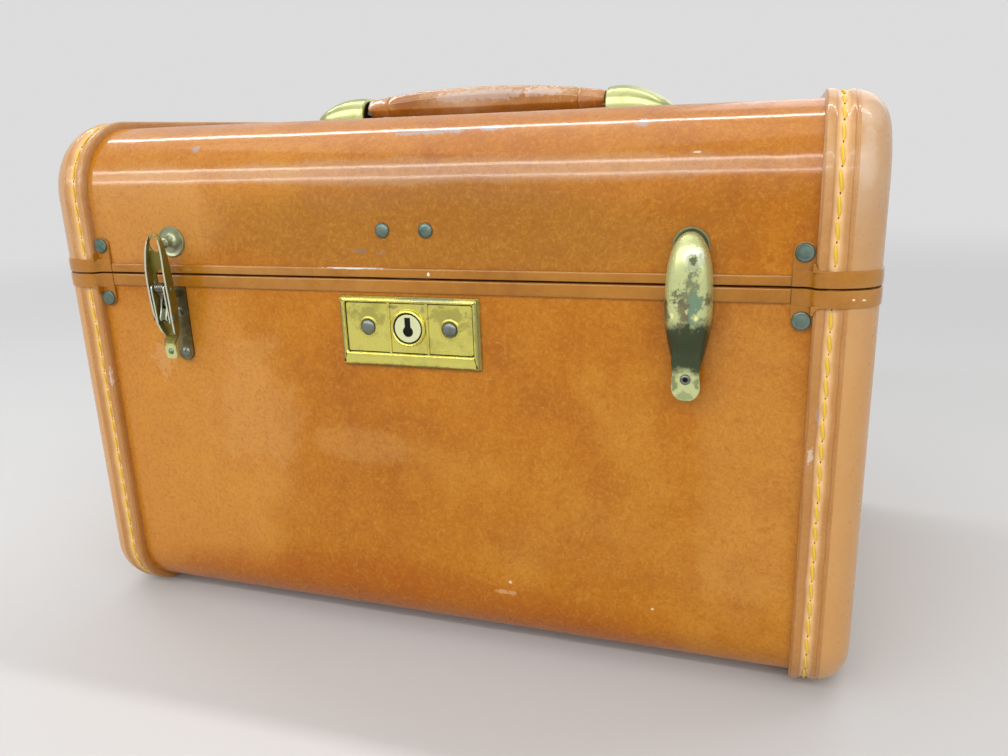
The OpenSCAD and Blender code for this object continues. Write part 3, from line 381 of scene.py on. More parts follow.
@dataclass(frozen=True)
class Hide:
    """A leather-like covering: clouded dye, fibres, pressed grain, gloss, scuffs, and broad tones, some of which are
    painted shade and painted highlights.
    """

    name: str
    dark: Colour
    mid: Colour
    light: Colour
    pale: Colour
    cloud: float = 34.0
    contrast: float = 2.2
    cells: float = 1500.0
    grain: float = 0.2
    swell: float = 0.6
    uneven: float = 60.0
    rough: float = 0.3
    patchy: float = 0.2
    bump: float = 0.08
    coat: float = 0.3
    coat_rough: float = 0.08
    speck: float = 0.3
    fibre: float = 0.3
    felt: float = 0.0
    specular: float = 0.4
    tones: tuple[Mark, ...] = ()
    polish: Mark | None = None
    marks: tuple[Mark, ...] = ()

    def build(self, fx: Effects) -> bpy.types.Material:
        """Makes the material.

        Args:
            fx: The shared effects.

        Returns:
            The material.
        """
        mat, t, shader = new_material(self.name)
        v = t.place()
        mask = t.group(fx.clouds, {"Vector": v, "Scale": self.cloud, "Contrast": self.contrast})
        lower = t.mix(t.ramp(mask, 0.0, 0.5, False), self.dark, self.mid)
        colour = t.mix(t.ramp(mask, 0.5, 1.0, False), lower, self.light)
        haze = t.group(fx.clouds, {"Vector": v, "Scale": self.cloud * 0.37, "Contrast": 2.0})
        colour = t.mix(t.math("MULTIPLY", t.ramp(haze, 0.45, 0.95), 0.55), colour, self.pale)
        # Broad tones: some are the covering's own colour, some are painted shade and painted highlights.
        for tone in self.tones:
            place = {"Vector": v, "Centre": tone.centre, "Size": tone.size, "Ragged": tone.ragged, "Scale": tone.scale}
            colour = t.mix(t.math("MULTIPLY", t.group(fx.spot, place), tone.strength), colour, tone.colour)
        fine = t.noise(v, 560.0, 4.0, 0.75)
        colour = t.mix(t.math("MULTIPLY", t.ramp(fine, 0.5, 0.72), self.speck), colour, self.pale)
        colour = t.mix(t.math("MULTIPLY", t.ramp(fine, 0.5, 0.3), self.speck), colour, self.dark)
        if self.felt:
            felt = t.group(fx.fibres, {"Vector": v, "Scale": 240.0, "Contrast": 3.4})
            colour = t.mix(t.math("MULTIPLY", t.ramp(felt, 0.5, 1.0, False), self.felt), colour, self.pale)
            colour = t.mix(t.math("MULTIPLY", t.ramp(felt, 0.5, 0.0, False), self.felt), colour, self.dark)
        for stretch in ((1.0, 1.0, 0.16), (0.16, 1.0, 1.0)):
            hairs = t.group(fx.hairs, {"Vector": v, "Stretch": stretch, "Scale": 1500.0, "Amount": self.fibre})
            colour = t.mix(hairs, colour, self.pale)
        broken = t.math("MULTIPLY", t.math("SUBTRACT", t.noise(v, 320.0, 5.0, 0.7), 0.5), self.patchy * 3.0)
        rough = t.math("ADD", broken, self.rough, clamp=True)
        rough = t.math("MAXIMUM", rough, 0.06)
        colour, rough, _ = marked(t, fx, v, self.marks, colour, rough)
        height = t.group(
            fx.grain, {"Vector": v, "Cells": self.cells, "Depth": self.grain, "Unevenness": self.uneven, "Swell": self.swell}
        )
        t.feed(shader.inputs["Base Color"], colour)
        t.feed(shader.inputs["Roughness"], rough)
        t.feed(shader.inputs["Normal"], t.bump(height, self.bump, 0.002))
        shader.inputs["Specular IOR Level"].default_value = self.specular
        shader.inputs["Coat Weight"].default_value = self.coat
        if self.polish:
            place = {"Vector": v, "Centre": self.polish.centre, "Size": self.polish.size, "Ragged": self.polish.ragged}
            shine = t.group(fx.spot, place | {"Scale": self.polish.scale})
            shine = t.math("MULTIPLY", shine, self.polish.strength - self.coat)
            t.feed(shader.inputs["Coat Weight"], t.math("ADD", shine, self.coat))
        shader.inputs["Coat Roughness"].default_value = self.coat_rough
        return mat


@dataclass(frozen=True)
class Welt:
    """The stitched binding's covering, with a paler valley as painted light and dark creases as painted shade."""

    name: str
    hide: Hide
    start: float
    width: float
    crease: Colour
    valley: Colour

    def build(self, fx: Effects) -> bpy.types.Material:
        """Makes the material: the hide, with a paler valley as painted light and dark creases as painted shade across
        it.

        Args:
            fx: The shared effects.

        Returns:
            The material.
        """
        mat = self.hide.build(fx)
        t = Tree(mat.node_tree)
        shader = mat.node_tree.nodes["Principled BSDF"]
        v = t.place()
        across = t.ramp(t.math("ABSOLUTE", t.axes(v)[0]), self.start, self.start + self.width, False)
        wander = t.math("MULTIPLY", t.math("SUBTRACT", t.noise(v, 90.0, 2.0), 0.5), 0.1)
        across = t.math("ADD", across, wander)
        colour = shader.inputs["Base Color"].links[0].from_socket
        # Painted light and shade across the binding's width: the valley is lightened, and the creases and the inner
        # edge get dark lines where shade falls.
        for centre, half, tint, share in (
            (0.53, 0.26, self.valley, 0.85),
            (0.055, 0.05, self.crease, 0.5),
            (0.33, 0.05, self.crease, 0.35),
            (0.865, 0.035, self.crease, 0.45),
        ):
            near = t.math("ABSOLUTE", t.math("SUBTRACT", across, centre))
            colour = t.mix(t.math("MULTIPLY", t.ramp(near, half, 0.0), share), colour, tint)
        t.feed(shader.inputs["Base Color"], colour)
        return mat


@dataclass(frozen=True)
class Metal:
    """A metal with tarnish patches, pits and hair scratches."""

    name: str
    bright: Colour
    dull: Colour
    pit: Colour
    rough: float = 0.25
    tarnish: float = 0.45
    pits: float = 0.3
    scale: float = 160.0
    scratch: Point = (1.0, 1.0, 0.04)
    bump: float = 0.05
    share: float = 1.0
    marks: tuple[Mark, ...] = ()

    def build(self, fx: Effects) -> bpy.types.Material:
        """Makes the material.

        Args:
            fx: The shared effects.

        Returns:
            The material.
        """
        mat, t, shader = new_material(self.name)
        v = t.place()
        dull = t.group(fx.patches, {"Vector": v, "Scale": self.scale, "Amount": self.tarnish, "Softness": 0.25})
        pits = t.group(fx.patches, {"Vector": v, "Scale": self.scale * 4, "Amount": self.pits, "Softness": 0.06})
        hair = t.group(fx.hairs, {"Vector": v, "Stretch": self.scratch, "Scale": 1500.0, "Amount": 0.5})
        colour = t.mix(dull, self.bright, self.dull)
        colour = t.mix(t.math("MULTIPLY", pits, 0.8), colour, self.pit)
        rough = t.math("ADD", t.math("MULTIPLY", dull, 0.18), self.rough)
        rough = t.math("ADD", rough, t.math("MULTIPLY", pits, 0.25))
        rough = t.math("ADD", rough, t.math("MULTIPLY", hair, 0.2), clamp=True)
        metallic = t.math("SUBTRACT", self.share, t.math("MULTIPLY", pits, 0.4), clamp=True)
        colour, rough, metallic = marked(t, fx, v, self.marks, colour, rough, metallic)
        low = t.math("ADD", t.math("MULTIPLY", pits, 0.5), hair)
        height = t.math("SUBTRACT", t.noise(v, self.scale * 2.5, 3.0, 0.6), low)
        t.feed(shader.inputs["Base Color"], colour)
        t.feed(shader.inputs["Roughness"], rough)
        t.feed(shader.inputs["Metallic"], metallic)
        t.feed(shader.inputs["Normal"], t.bump(height, self.bump, 0.001))
        return mat


@dataclass(frozen=True)
class Cloth:
    """A woven cloth, or a twisted thread."""

    name: str
    warp: Colour
    weft: Colour
    pitch: float = 0.0007
    rough: float = 0.8
    bump: float = 0.3
    sheen: float = 0.3

    def build(self, fx: Effects) -> bpy.types.Material:
        """Makes the material.

        Args:
            fx: The shared effects.

        Returns:
            The material.
        """
        mat, t, shader = new_material(self.name)
        v = t.place()
        freq = 2 * math.pi / self.pitch
        waves = [t.math("SINE", t.math("MULTIPLY", axis, freq)) for axis in t.axes(v)]
        weave = t.math("ADD", t.math("ADD", waves[0], waves[1]), waves[2])
        height = t.math("ADD", t.math("MULTIPLY", weave, 0.2), 0.5, clamp=True)
        cloud = t.group(fx.clouds, {"Vector": v, "Scale": 40.0, "Contrast": 1.2})
        colour = t.mix(t.math("MULTIPLY", t.math("ADD", height, cloud), 0.5), self.warp, self.weft)
        t.feed(shader.inputs["Base Color"], colour)
        t.feed(shader.inputs["Normal"], t.bump(height, self.bump, 0.0003))
        shader.inputs["Roughness"].default_value = self.rough
        shader.inputs["Sheen Weight"].default_value = self.sheen
        return mat


@dataclass(frozen=True)
class Silvering:
    """Mirror glass with faint haze and spots."""

    name: str

    def build(self, fx: Effects) -> bpy.types.Material:
        """Makes the material.

        Args:
            fx: The shared effects.

        Returns:
            The material.
        """
        mat, t, shader = new_material(self.name)
        v = t.place()
        spots = t.group(fx.patches, {"Vector": v, "Scale": 300.0, "Amount": 0.28, "Softness": 0.04})
        t.feed(shader.inputs["Base Color"], t.mix(spots, (0.88, 0.9, 0.9), (0.3, 0.29, 0.27)))
        t.feed(shader.inputs["Roughness"], t.math("ADD", t.math("MULTIPLY", spots, 0.4), 0.03))
        shader.inputs["Metallic"].default_value = 1.0
        return mat


CHIP = (0.72, 0.66, 0.58)
GREY = (0.30, 0.30, 0.32)
# Near-black green of the painted dark reflections on the latch cover.
PAINTED_DARK_REFLECTION = (0.018, 0.030, 0.008)
BIND_START = 0.1444
BIND_WIDTH = 0.0106
BINDING_HIDE = Hide(
    "stitched_binding",
    dark=(0.40, 0.175, 0.045),
    mid=(0.51, 0.250, 0.085),
    light=(0.57, 0.305, 0.125),
    pale=(0.66, 0.43, 0.22),
    cloud=40.0,
    cells=2200.0,
    grain=0.06,
    rough=0.3,
    specular=0.25,
    speck=0.12,
    fibre=0.12,
    tones=(
        Mark((0.15, 0.0, 0.050), (0.06, 0.60, 0.130), (0.43, 0.175, 0.030), 0.2, 0.6, scale=14.0),
        Mark((-0.15, 0.0, 0.050), (0.06, 0.60, 0.130), (0.43, 0.175, 0.030), 0.2, 0.6, scale=14.0),
    ),
    marks=(
        Mark((0.1485, -0.097, 0.112), (0.0011, 0.004, 0.0045), (0.36, 0.33, 0.36), 1.2, 0.55, scale=500.0),
        Mark((0.1465, -0.096, 0.098), (0.0010, 0.004, 0.0035), CHIP, 1.2, 0.5, scale=500.0),
        Mark((-0.1455, -0.096, 0.108), (0.0010, 0.004, 0.0050), CHIP, 1.2, 0.5, scale=500.0),
    ),
)


class Finish(Enum):
    """Every finish on the case."""

    WRAP = Hide(
        "tan_leatherette",
        dark=(0.30, 0.074, 0.001),
        mid=(0.435, 0.140, 0.001),
        light=(0.52, 0.195, 0.006),
        pale=(0.62, 0.29, 0.035),
        cloud=26.0,
        contrast=1.7,
        speck=0.22,
        fibre=0.25,
        felt=0.42,
        rough=0.36,
        patchy=0.25,
        specular=0.12,
        coat=0.40,
        coat_rough=0.115,
        polish=Mark((0.0, -0.090, 0.202), (0.6, 0.026, 0.024), (1.0, 1.0, 1.0), 0.3, 0.92, scale=40.0),
        tones=(
            Mark((-0.11, -0.096, 0.080), (0.060, 0.03, 0.090), (0.64, 0.28, 0.045), 0.4, 0.5, scale=14.0),
            # Painted shade: darker where the body's lower curve turns down towards the floor.
            Mark((0.00, -0.096, 0.006), (0.160, 0.04, 0.036), (0.36, 0.085, 0.001), 0.35, 0.75, scale=12.0),
            # Partly painted shade, partly the covering's own olive-brown tone: the lid's front face is darker under
            # light from above.
            Mark((0.01, -0.096, 0.172), (0.125, 0.02, 0.024), (0.32, 0.130, 0.014), 0.2, 0.70, scale=12.0),
            # Painted highlight: a pale milky sheen along the lid's rounded front edge.
            Mark((0.02, -0.0905, 0.1945), (0.170, 0.012, 0.0060), (0.50, 0.36, 0.22), 0.4, 0.30, scale=30.0),
            # Painted light: the lid's left end is lighter where the light falls from the left.
            Mark((-0.115, -0.094, 0.178), (0.045, 0.02, 0.026), (0.62, 0.31, 0.085), 0.4, 0.5, scale=16.0),
            Mark((0.125, -0.096, 0.090), (0.025, 0.02, 0.075), (0.55, 0.25, 0.045), 0.5, 0.4, scale=16.0),
            Mark((-0.025, -0.093, 0.086), (0.028, 0.006, 0.010), (0.70, 0.40, 0.12), 0.3, 0.18, scale=40.0),
            Mark((-0.075, -0.093, 0.100), (0.030, 0.01, 0.030), (0.60, 0.30, 0.08), 0.8, 0.35, scale=30.0),
        ),
        marks=(
            Mark((-0.0926, -0.086, 0.2045), (0.0020, 0.006, 0.0015), GREY, 0.6, 0.7, scale=700.0),
            Mark((-0.0186, -0.093, 0.1655), (0.0035, 0.005, 0.0008), (0.20, 0.17, 0.17), 0.7, 0.6, scale=700.0),
            Mark((-0.0095, -0.093, 0.1648), (0.0025, 0.005, 0.0006), (0.22, 0.18, 0.18), 0.7, 0.5, scale=700.0),
            Mark((0.032, -0.0825, 0.2085), (0.006, 0.003, 0.0012), (0.34, 0.36, 0.38), 0.7, 0.8),
            Mark((0.0085, -0.0825, 0.2080), (0.016, 0.004, 0.0014), (0.34, 0.36, 0.38), 0.9, 0.6),
            Mark((0.0865, -0.082, 0.2085), (0.0025, 0.004, 0.0018), (0.36, 0.37, 0.38), 0.7, 0.6),
            Mark((0.1055, -0.092, 0.1985), (0.0022, 0.004, 0.0005), (0.75, 0.55, 0.32), 0.5, 0.9),
            Mark((-0.118, -0.093, 0.118), (0.005, 0.005, 0.008), (0.62, 0.38, 0.17), 1.4, 0.3, 0.05, 300.0),
            Mark((0.010, -0.093, 0.157), (0.0010, 0.005, 0.0010), (0.85, 0.75, 0.6), 0.5, 0.9),
            Mark((0.037, -0.093, 0.033), (0.0007, 0.005, 0.0007), (0.8, 0.62, 0.42), 0.8, 0.8),
            Mark((0.094, -0.093, 0.030), (0.0008, 0.005, 0.0006), (0.8, 0.62, 0.42), 0.8, 0.8),
            Mark((0.034, -0.093, 0.028), (0.0050, 0.005, 0.0012), (0.70, 0.42, 0.20), 1.2, 0.5, scale=500.0),
        ),
    )
    CAP = Hide(
        "moulded_end_covering",
        dark=(0.45, 0.225, 0.080),
        mid=(0.52, 0.290, 0.130),
        light=(0.57, 0.345, 0.180),
        pale=(0.65, 0.46, 0.30),
        cloud=14.0,
        contrast=2.0,
        cells=2600.0,
        grain=0.03,
        swell=0.4,
        rough=0.34,
        specular=0.25,
        speck=0.05,
        fibre=0.05,
        felt=0.08,
        coat=0.4,
        coat_rough=0.16,
        tones=(
            Mark((0.158, 0.0, 0.050), (0.06, 0.60, 0.130), (0.60, 0.280, 0.055), 0.2, 0.65, scale=14.0),
            Mark((-0.158, 0.0, 0.050), (0.06, 0.60, 0.130), (0.60, 0.280, 0.055), 0.2, 0.65, scale=14.0),
            # Painted highlights: pale milky sheen down the middle of the right lid end and near its top.
            Mark((0.157, -0.093, 0.194), (0.0045, 0.02, 0.011), (0.66, 0.49, 0.36), 0.5, 0.4, scale=60.0),
            Mark((0.157, -0.074, 0.207), (0.006, 0.02, 0.006), (0.68, 0.52, 0.38), 0.5, 0.35, scale=60.0),
        ),
    )
    BINDING = Welt("stitched_binding", BINDING_HIDE, BIND_START, BIND_WIDTH, (0.24, 0.085, 0.012), (0.94, 0.62, 0.29))
    TRIM = Hide(
        "lacquered_trim",
        dark=(0.26, 0.085, 0.003),
        mid=(0.37, 0.142, 0.008),
        light=(0.43, 0.180, 0.016),
        pale=(0.56, 0.29, 0.08),
        cloud=30.0,
        felt=0.1,
        cells=2500.0,
        grain=0.04,
        swell=0.3,
        rough=0.2,
        patchy=0.1,
        speck=0.06,
        fibre=0.05,
        specular=0.25,
        coat=0.4,
        marks=(
            # Painted highlight: a pale line along the top edge of the lid's front rim.
            Mark((-0.022, -0.0945, 0.1592), (0.016, 0.003, 0.0006), (0.72, 0.75, 0.76), 0.5, 0.95),
            Mark((0.0095, -0.0945, 0.1572), (0.0006, 0.003, 0.0008), (0.9, 0.85, 0.75), 0.2, 0.9),
            Mark((0.1562, -0.0955, 0.1520), (0.0005, 0.003, 0.0004), (0.9, 0.80, 0.60), 1.0, 0.9, scale=900.0),
            Mark((0.1594, -0.0945, 0.1517), (0.0007, 0.004, 0.0003), (0.9, 0.80, 0.60), 1.0, 0.9, scale=900.0),
        ),
    )
    GRIP = Hide(
        "grip_moulding",
        dark=(0.26, 0.095, 0.008),
        mid=(0.38, 0.160, 0.020),
        light=(0.44, 0.205, 0.042),
        pale=(0.66, 0.48, 0.34),
        cloud=45.0,
        cells=2500.0,
        grain=0.05,
        rough=0.2,
        patchy=0.16,
        speck=0.1,
        fibre=0.5,
        coat=0.8,
        coat_rough=0.12,
        marks=(
            Mark((-0.036, -0.0065, 0.2225), (0.0085, 0.004, 0.006), (0.30, 0.095, 0.004), 0.25, 0.85, rough=-0.1),
            Mark((0.004, -0.0065, 0.2235), (0.022, 0.005, 0.0028), (0.50, 0.43, 0.40), 1.0, 0.55),
            Mark((0.030, -0.0065, 0.2235), (0.012, 0.005, 0.0022), (0.56, 0.49, 0.45), 1.0, 0.5),
            Mark((-0.014, -0.0065, 0.2225), (0.009, 0.005, 0.0026), (0.50, 0.40, 0.34), 1.0, 0.5),
        ),
    )
    FERRULE = Hide(
        "ferrule_moulding",
        dark=(0.32, 0.115, 0.016),
        mid=(0.44, 0.180, 0.036),
        light=(0.50, 0.230, 0.062),
        pale=(0.68, 0.50, 0.36),
        cloud=60.0,
        cells=2500.0,
        grain=0.05,
        rough=0.25,
        speck=0.2,
        fibre=0.3,
        coat=0.6,
        marks=(Mark((-0.0555, -0.005, 0.222), (0.0016, 0.006, 0.004), (0.72, 0.62, 0.52), 0.9, 0.6),),
    )
    WOOD = Hide(
        "frame_board",
        dark=(0.35, 0.22, 0.11),
        mid=(0.5, 0.34, 0.18),
        light=(0.6, 0.43, 0.25),
        pale=(0.66, 0.5, 0.32),
        cloud=60.0,
        cells=900.0,
        rough=0.6,
        coat=0.0,
    )
    # Near-black brown needle holes: painted shade in the holes.
    HOLE = Hide(
        "needle_hole",
        dark=(0.09, 0.035, 0.006),
        mid=(0.15, 0.06, 0.011),
        light=(0.20, 0.085, 0.018),
        pale=(0.26, 0.12, 0.03),
        rough=0.6,
        specular=0.08,
        coat=0.0,
    )
    THREAD = Cloth("waxed_thread", (0.80, 0.57, 0.035), (0.66, 0.40, 0.012), pitch=0.0005, rough=0.45, bump=0.12, sheen=0.1)
    LINING = Cloth("lining_cloth", (0.62, 0.50, 0.36), (0.50, 0.38, 0.25))
    POCKET = Cloth("pocket_cloth", (0.56, 0.42, 0.28), (0.45, 0.32, 0.2))
    BRASS = Metal(
        "worn_brass",
        (0.70, 0.63, 0.15),
        (0.49, 0.44, 0.095),
        (0.10, 0.095, 0.035),
        rough=0.25,
        tarnish=0.52,
        pits=0.26,
        scale=110.0,
        share=0.9,
        marks=(
            Mark((-0.0170, -0.0950, 0.1405), (0.0085, 0.004, 0.0050), (0.33, 0.28, 0.065), 0.9, 0.65, 0.05, 260.0),
            Mark((0.0170, -0.0950, 0.1405), (0.0085, 0.004, 0.0055), (0.33, 0.28, 0.065), 0.9, 0.65, 0.05, 260.0),
            Mark((-0.0058, -0.0950, 0.1445), (0.0022, 0.004, 0.0010), (0.24, 0.15, 0.10), 0.8, 0.7, 0.1, 700.0),
            Mark((0.0062, -0.0950, 0.1435), (0.0008, 0.004, 0.0016), (0.24, 0.20, 0.12), 0.8, 0.6, 0.1, 700.0),
            Mark((0.0080, -0.0950, 0.1476), (0.0150, 0.004, 0.0009), (0.26, 0.30, 0.20), 0.5, 0.8, 0.0, 300.0),
            Mark((0.0282, -0.0950, 0.1340), (0.0013, 0.004, 0.0170), (0.27, 0.28, 0.11), 0.5, 0.75, 0.0, 300.0),
            Mark((-0.0280, -0.0950, 0.1340), (0.0013, 0.004, 0.0170), (0.30, 0.30, 0.11), 0.5, 0.75, 0.0, 300.0),
            Mark((0.0000, -0.0950, 0.1212), (0.0360, 0.004, 0.0013), (0.18, 0.18, 0.06), 0.5, 0.75, 0.0, 300.0),
        ),
    )
    CAP_BRASS = Metal(
        "cap_brass",
        (0.45, 0.475, 0.21),
        (0.32, 0.34, 0.125),
        (0.14, 0.15, 0.06),
        rough=0.3,
        tarnish=0.5,
        pits=0.24,
        share=0.9,
    )
    COVER_BRASS = Metal(
        "cover_brass",
        (0.56, 0.60, 0.27),
        (0.39, 0.42, 0.15),
        (0.06, 0.07, 0.03),
        rough=0.27,
        tarnish=0.42,
        pits=0.32,
        scale=200.0,
        share=0.5,
        marks=(
            # Painted reflections: dark surroundings reflected over the lower dome and by its left side.
            Mark((0.105, -0.101, 0.1355), (0.0200, 0.012, 0.0116), PAINTED_DARK_REFLECTION, 0.3, 0.97, rough=0.02, scale=200.0),
            Mark((0.0978, -0.101, 0.1480), (0.0016, 0.012, 0.0050), PAINTED_DARK_REFLECTION, 0.6, 0.9, rough=0.02, scale=300.0),
            # Painted reflections: dark green and brown patches round the middle of the dome.
            Mark((0.1066, -0.101, 0.1530), (0.0034, 0.01, 0.0110), (0.13, 0.15, 0.08), 1.0, 0.85, rough=0.06, scale=420.0),
            Mark((0.1076, -0.101, 0.1500), (0.0022, 0.01, 0.0080), (0.14, 0.25, 0.16), 1.2, 0.75, rough=0.06, scale=420.0),
            Mark((0.1040, -0.101, 0.1475), (0.0020, 0.01, 0.0065), (0.14, 0.11, 0.05), 1.0, 0.85, rough=0.06, scale=420.0),
            Mark((0.1018, -0.101, 0.1530), (0.0020, 0.01, 0.0024), (0.10, 0.10, 0.05), 1.8, 0.85, rough=0.08, scale=700.0),
            Mark((0.0985, -0.101, 0.1460), (0.0016, 0.01, 0.0026), (0.12, 0.14, 0.07), 1.0, 0.85, rough=0.08, scale=600.0),
            Mark((0.1117, -0.101, 0.1520), (0.0012, 0.01, 0.0022), (0.10, 0.10, 0.05), 1.6, 0.85, rough=0.08, scale=800.0),
            # Painted reflections: pale and dark concentric arcs near the top of the dome.
            Mark((0.1067, -0.101, 0.1658), (0.0042, 0.01, 0.0036), (0.86, 0.90, 0.74), 0.5, 0.85, scale=300.0),
            Mark((0.1067, -0.101, 0.1644), (0.0036, 0.01, 0.0036), (0.38, 0.42, 0.22), 0.5, 0.8, scale=300.0),
            Mark((0.1068, -0.101, 0.1640), (0.0029, 0.01, 0.0028), (0.74, 0.78, 0.56), 0.5, 0.75, scale=300.0),
            Mark((0.1068, -0.101, 0.1632), (0.0025, 0.01, 0.0028), (0.30, 0.34, 0.17), 0.5, 0.75, scale=300.0),
            Mark((0.1069, -0.101, 0.1648), (0.0015, 0.01, 0.0019), (0.12, 0.12, 0.05), 0.9, 0.95, rough=0.08, scale=700.0),
            # Painted highlights: two bright glints on the dome.
            Mark((0.1005, -0.101, 0.1466), (0.0009, 0.01, 0.0014), (0.86, 0.84, 0.34), 0.6, 0.95, scale=500.0),
            Mark((0.1083, -0.101, 0.1461), (0.0008, 0.01, 0.0012), (0.86, 0.84, 0.34), 0.6, 0.9, scale=500.0),
            # Darker green patches beside the tail's eyelet and a dark line along its lower edge.
            Mark((0.1045, -0.101, 0.1180), (0.0034, 0.01, 0.0020), (0.20, 0.25, 0.11), 0.9, 0.6, rough=0.08, scale=500.0),
            Mark((0.1012, -0.101, 0.1222), (0.0012, 0.01, 0.0030), (0.12, 0.15, 0.06), 1.2, 0.75, rough=0.05, scale=500.0),
            Mark((0.1088, -0.101, 0.1222), (0.0012, 0.01, 0.0030), (0.12, 0.15, 0.06), 1.2, 0.75, rough=0.05, scale=500.0),
            Mark((0.1050, -0.101, 0.1160), (0.0060, 0.01, 0.0009), (0.10, 0.11, 0.05), 0.5, 0.8, rough=0.05, scale=500.0),
        ),
    )
    CYLINDER = Metal(
        "cylinder_face",
        (0.84, 0.86, 0.50),
        (0.66, 0.68, 0.30),
        (0.16, 0.17, 0.08),
        rough=0.34,
        tarnish=0.35,
        pits=0.3,
        scale=500.0,
    )
    LEVER = Metal(
        "lever_brass",
        (0.180, 0.145, 0.022),
        (0.105, 0.082, 0.014),
        (0.04, 0.028, 0.010),
        rough=0.36,
        tarnish=0.5,
        scale=220.0,
        share=0.5,
        marks=(Mark((-0.105, -0.101, 0.1243), (0.0042, 0.006, 0.0052), (0.56, 0.56, 0.22), 0.3, 0.95, rough=-0.1),),
    )
    LINK = Metal("latch_link", (0.085, 0.090, 0.050), (0.05, 0.055, 0.03), (0.02, 0.02, 0.012), rough=0.35, tarnish=0.5)
    BRIGHT_EDGE = Metal(
        "rubbed_edge", (0.56, 0.57, 0.44), (0.36, 0.36, 0.24), (0.16, 0.15, 0.07), rough=0.25, tarnish=0.36, pits=0.2, share=0.5
    )
    OLD_BRASS = Metal("aged_brass", (0.30, 0.24, 0.075), (0.15, 0.12, 0.035), (0.05, 0.04, 0.015), rough=0.3, tarnish=0.6)
    # Darker than the brass's own tone, partly as painted shade from the lever lying over the plate.
    BASE = Metal("latch_base_plate", (0.22, 0.18, 0.08), (0.13, 0.105, 0.045), (0.05, 0.04, 0.02), rough=0.38, tarnish=0.6)
    KEEPER = Metal("keeper_brass", (0.33, 0.35, 0.21), (0.21, 0.23, 0.14), (0.07, 0.07, 0.03), rough=0.33, tarnish=0.5, share=0.8)
    STEEL = Metal("oxidised_steel", (0.16, 0.21, 0.175), (0.085, 0.13, 0.105), (0.04, 0.05, 0.04), rough=0.46, tarnish=0.55)
    STUD = Metal("dull_stud", (0.20, 0.22, 0.19), (0.11, 0.125, 0.105), (0.04, 0.04, 0.035), rough=0.36, tarnish=0.5)
    PLATED = Metal("plated_steel", (0.42, 0.42, 0.39), (0.27, 0.26, 0.24), (0.1, 0.09, 0.08), rough=0.3)
    WIRE = Metal("spring_wire", (0.24, 0.24, 0.20), (0.10, 0.10, 0.08), (0.03, 0.03, 0.025), rough=0.22)
    # Near-black painted shade, for sheets set in gaps, holes and mouths where there is only shade.
    SHADE = Metal("painted_shade_hollow", (0.020, 0.020, 0.016), (0.012, 0.012, 0.010), (0.005, 0.005, 0.004), rough=0.5)
    MIRROR = Silvering("silvered_glass")


CAD_FINISH: dict[Finish, tuple[str, ...]] = {
    Finish.WRAP: ("body_wrap", "lid_wrap"),
    Finish.CAP: ("left_body_end", "right_body_end", "left_lid_end", "right_lid_end"),
    Finish.BINDING: ("left_body_binding", "right_body_binding", "left_lid_binding", "right_lid_binding"),
    Finish.TRIM: (
        "body_front_rim",
        "body_back_rim",
        "lid_front_rim",
        "lid_back_rim",
        "left_body_band",
        "right_body_band",
        "left_lid_band",
        "right_lid_band",
    ),
    Finish.GRIP: ("handle_grip",),
    Finish.FERRULE: ("handle_ferrules",),
    Finish.WOOD: ("body_frame",),
    Finish.THREAD: ("body_stitches", "lid_stitches"),
    Finish.LINING: ("body_lining", "lid_lining"),
    Finish.POCKET: ("body_pockets", "mirror_frame"),
    Finish.BRASS: ("lock_plate", "lock_cylinder"),
    Finish.CAP_BRASS: ("left_handle_cap", "right_handle_cap"),
    Finish.COVER_BRASS: ("right_latch_cover",),
    Finish.OLD_BRASS: (
        "left_latch_lever",
        "right_latch_lever",
        "body_hinge_leaves",
        "lid_hinge_leaves",
    ),
    Finish.BASE: ("left_latch_base", "right_latch_base"),
    Finish.LINK: ("left_latch_link", "right_latch_link"),
    Finish.STUD: ("lock_plate_rivets", "latch_base_rivets", "latch_base_pins"),
    Finish.KEEPER: ("keepers",),
    Finish.STEEL: (
        "body_band_rivets",
        "lid_band_rivets",
        "hinge_pins",
        "body_hinge_rivets",
        "lid_hinge_rivets",
        "hasp_rivets",
        "left_latch_pins",
        "right_latch_pins",
    ),
    Finish.PLATED: ("lock_case", "lock_hasp", "handle_strap"),
    Finish.WIRE: ("left_latch_spring", "right_latch_spring"),
    Finish.MIRROR: ("lid_mirror",),
}


# Shapes. Sizes are in millimetres, with y measured from the middle of the case.

Ring = list[Point]


def arc(count: int, start: float, end: float) -> list[float]:
    """Returns count + 1 angles in radians, evenly from start to end degrees."""
    return [math.radians(start + (end - start) * i / count) for i in range(count + 1)]


def stepped(start: float, end: float, step: float) -> list[float]:
    """Returns evenly spaced values from start to end, about step apart."""
    count = max(1, round(abs(end - start) / step))
    return [start + (end - start) * i / count for i in range(count + 1)]


def waver(x: float, y: float, seed: float) -> float:
    """Returns smooth, repeatable noise from about -1 to 1."""
    return noise.noise(Vector((x, y, seed)))


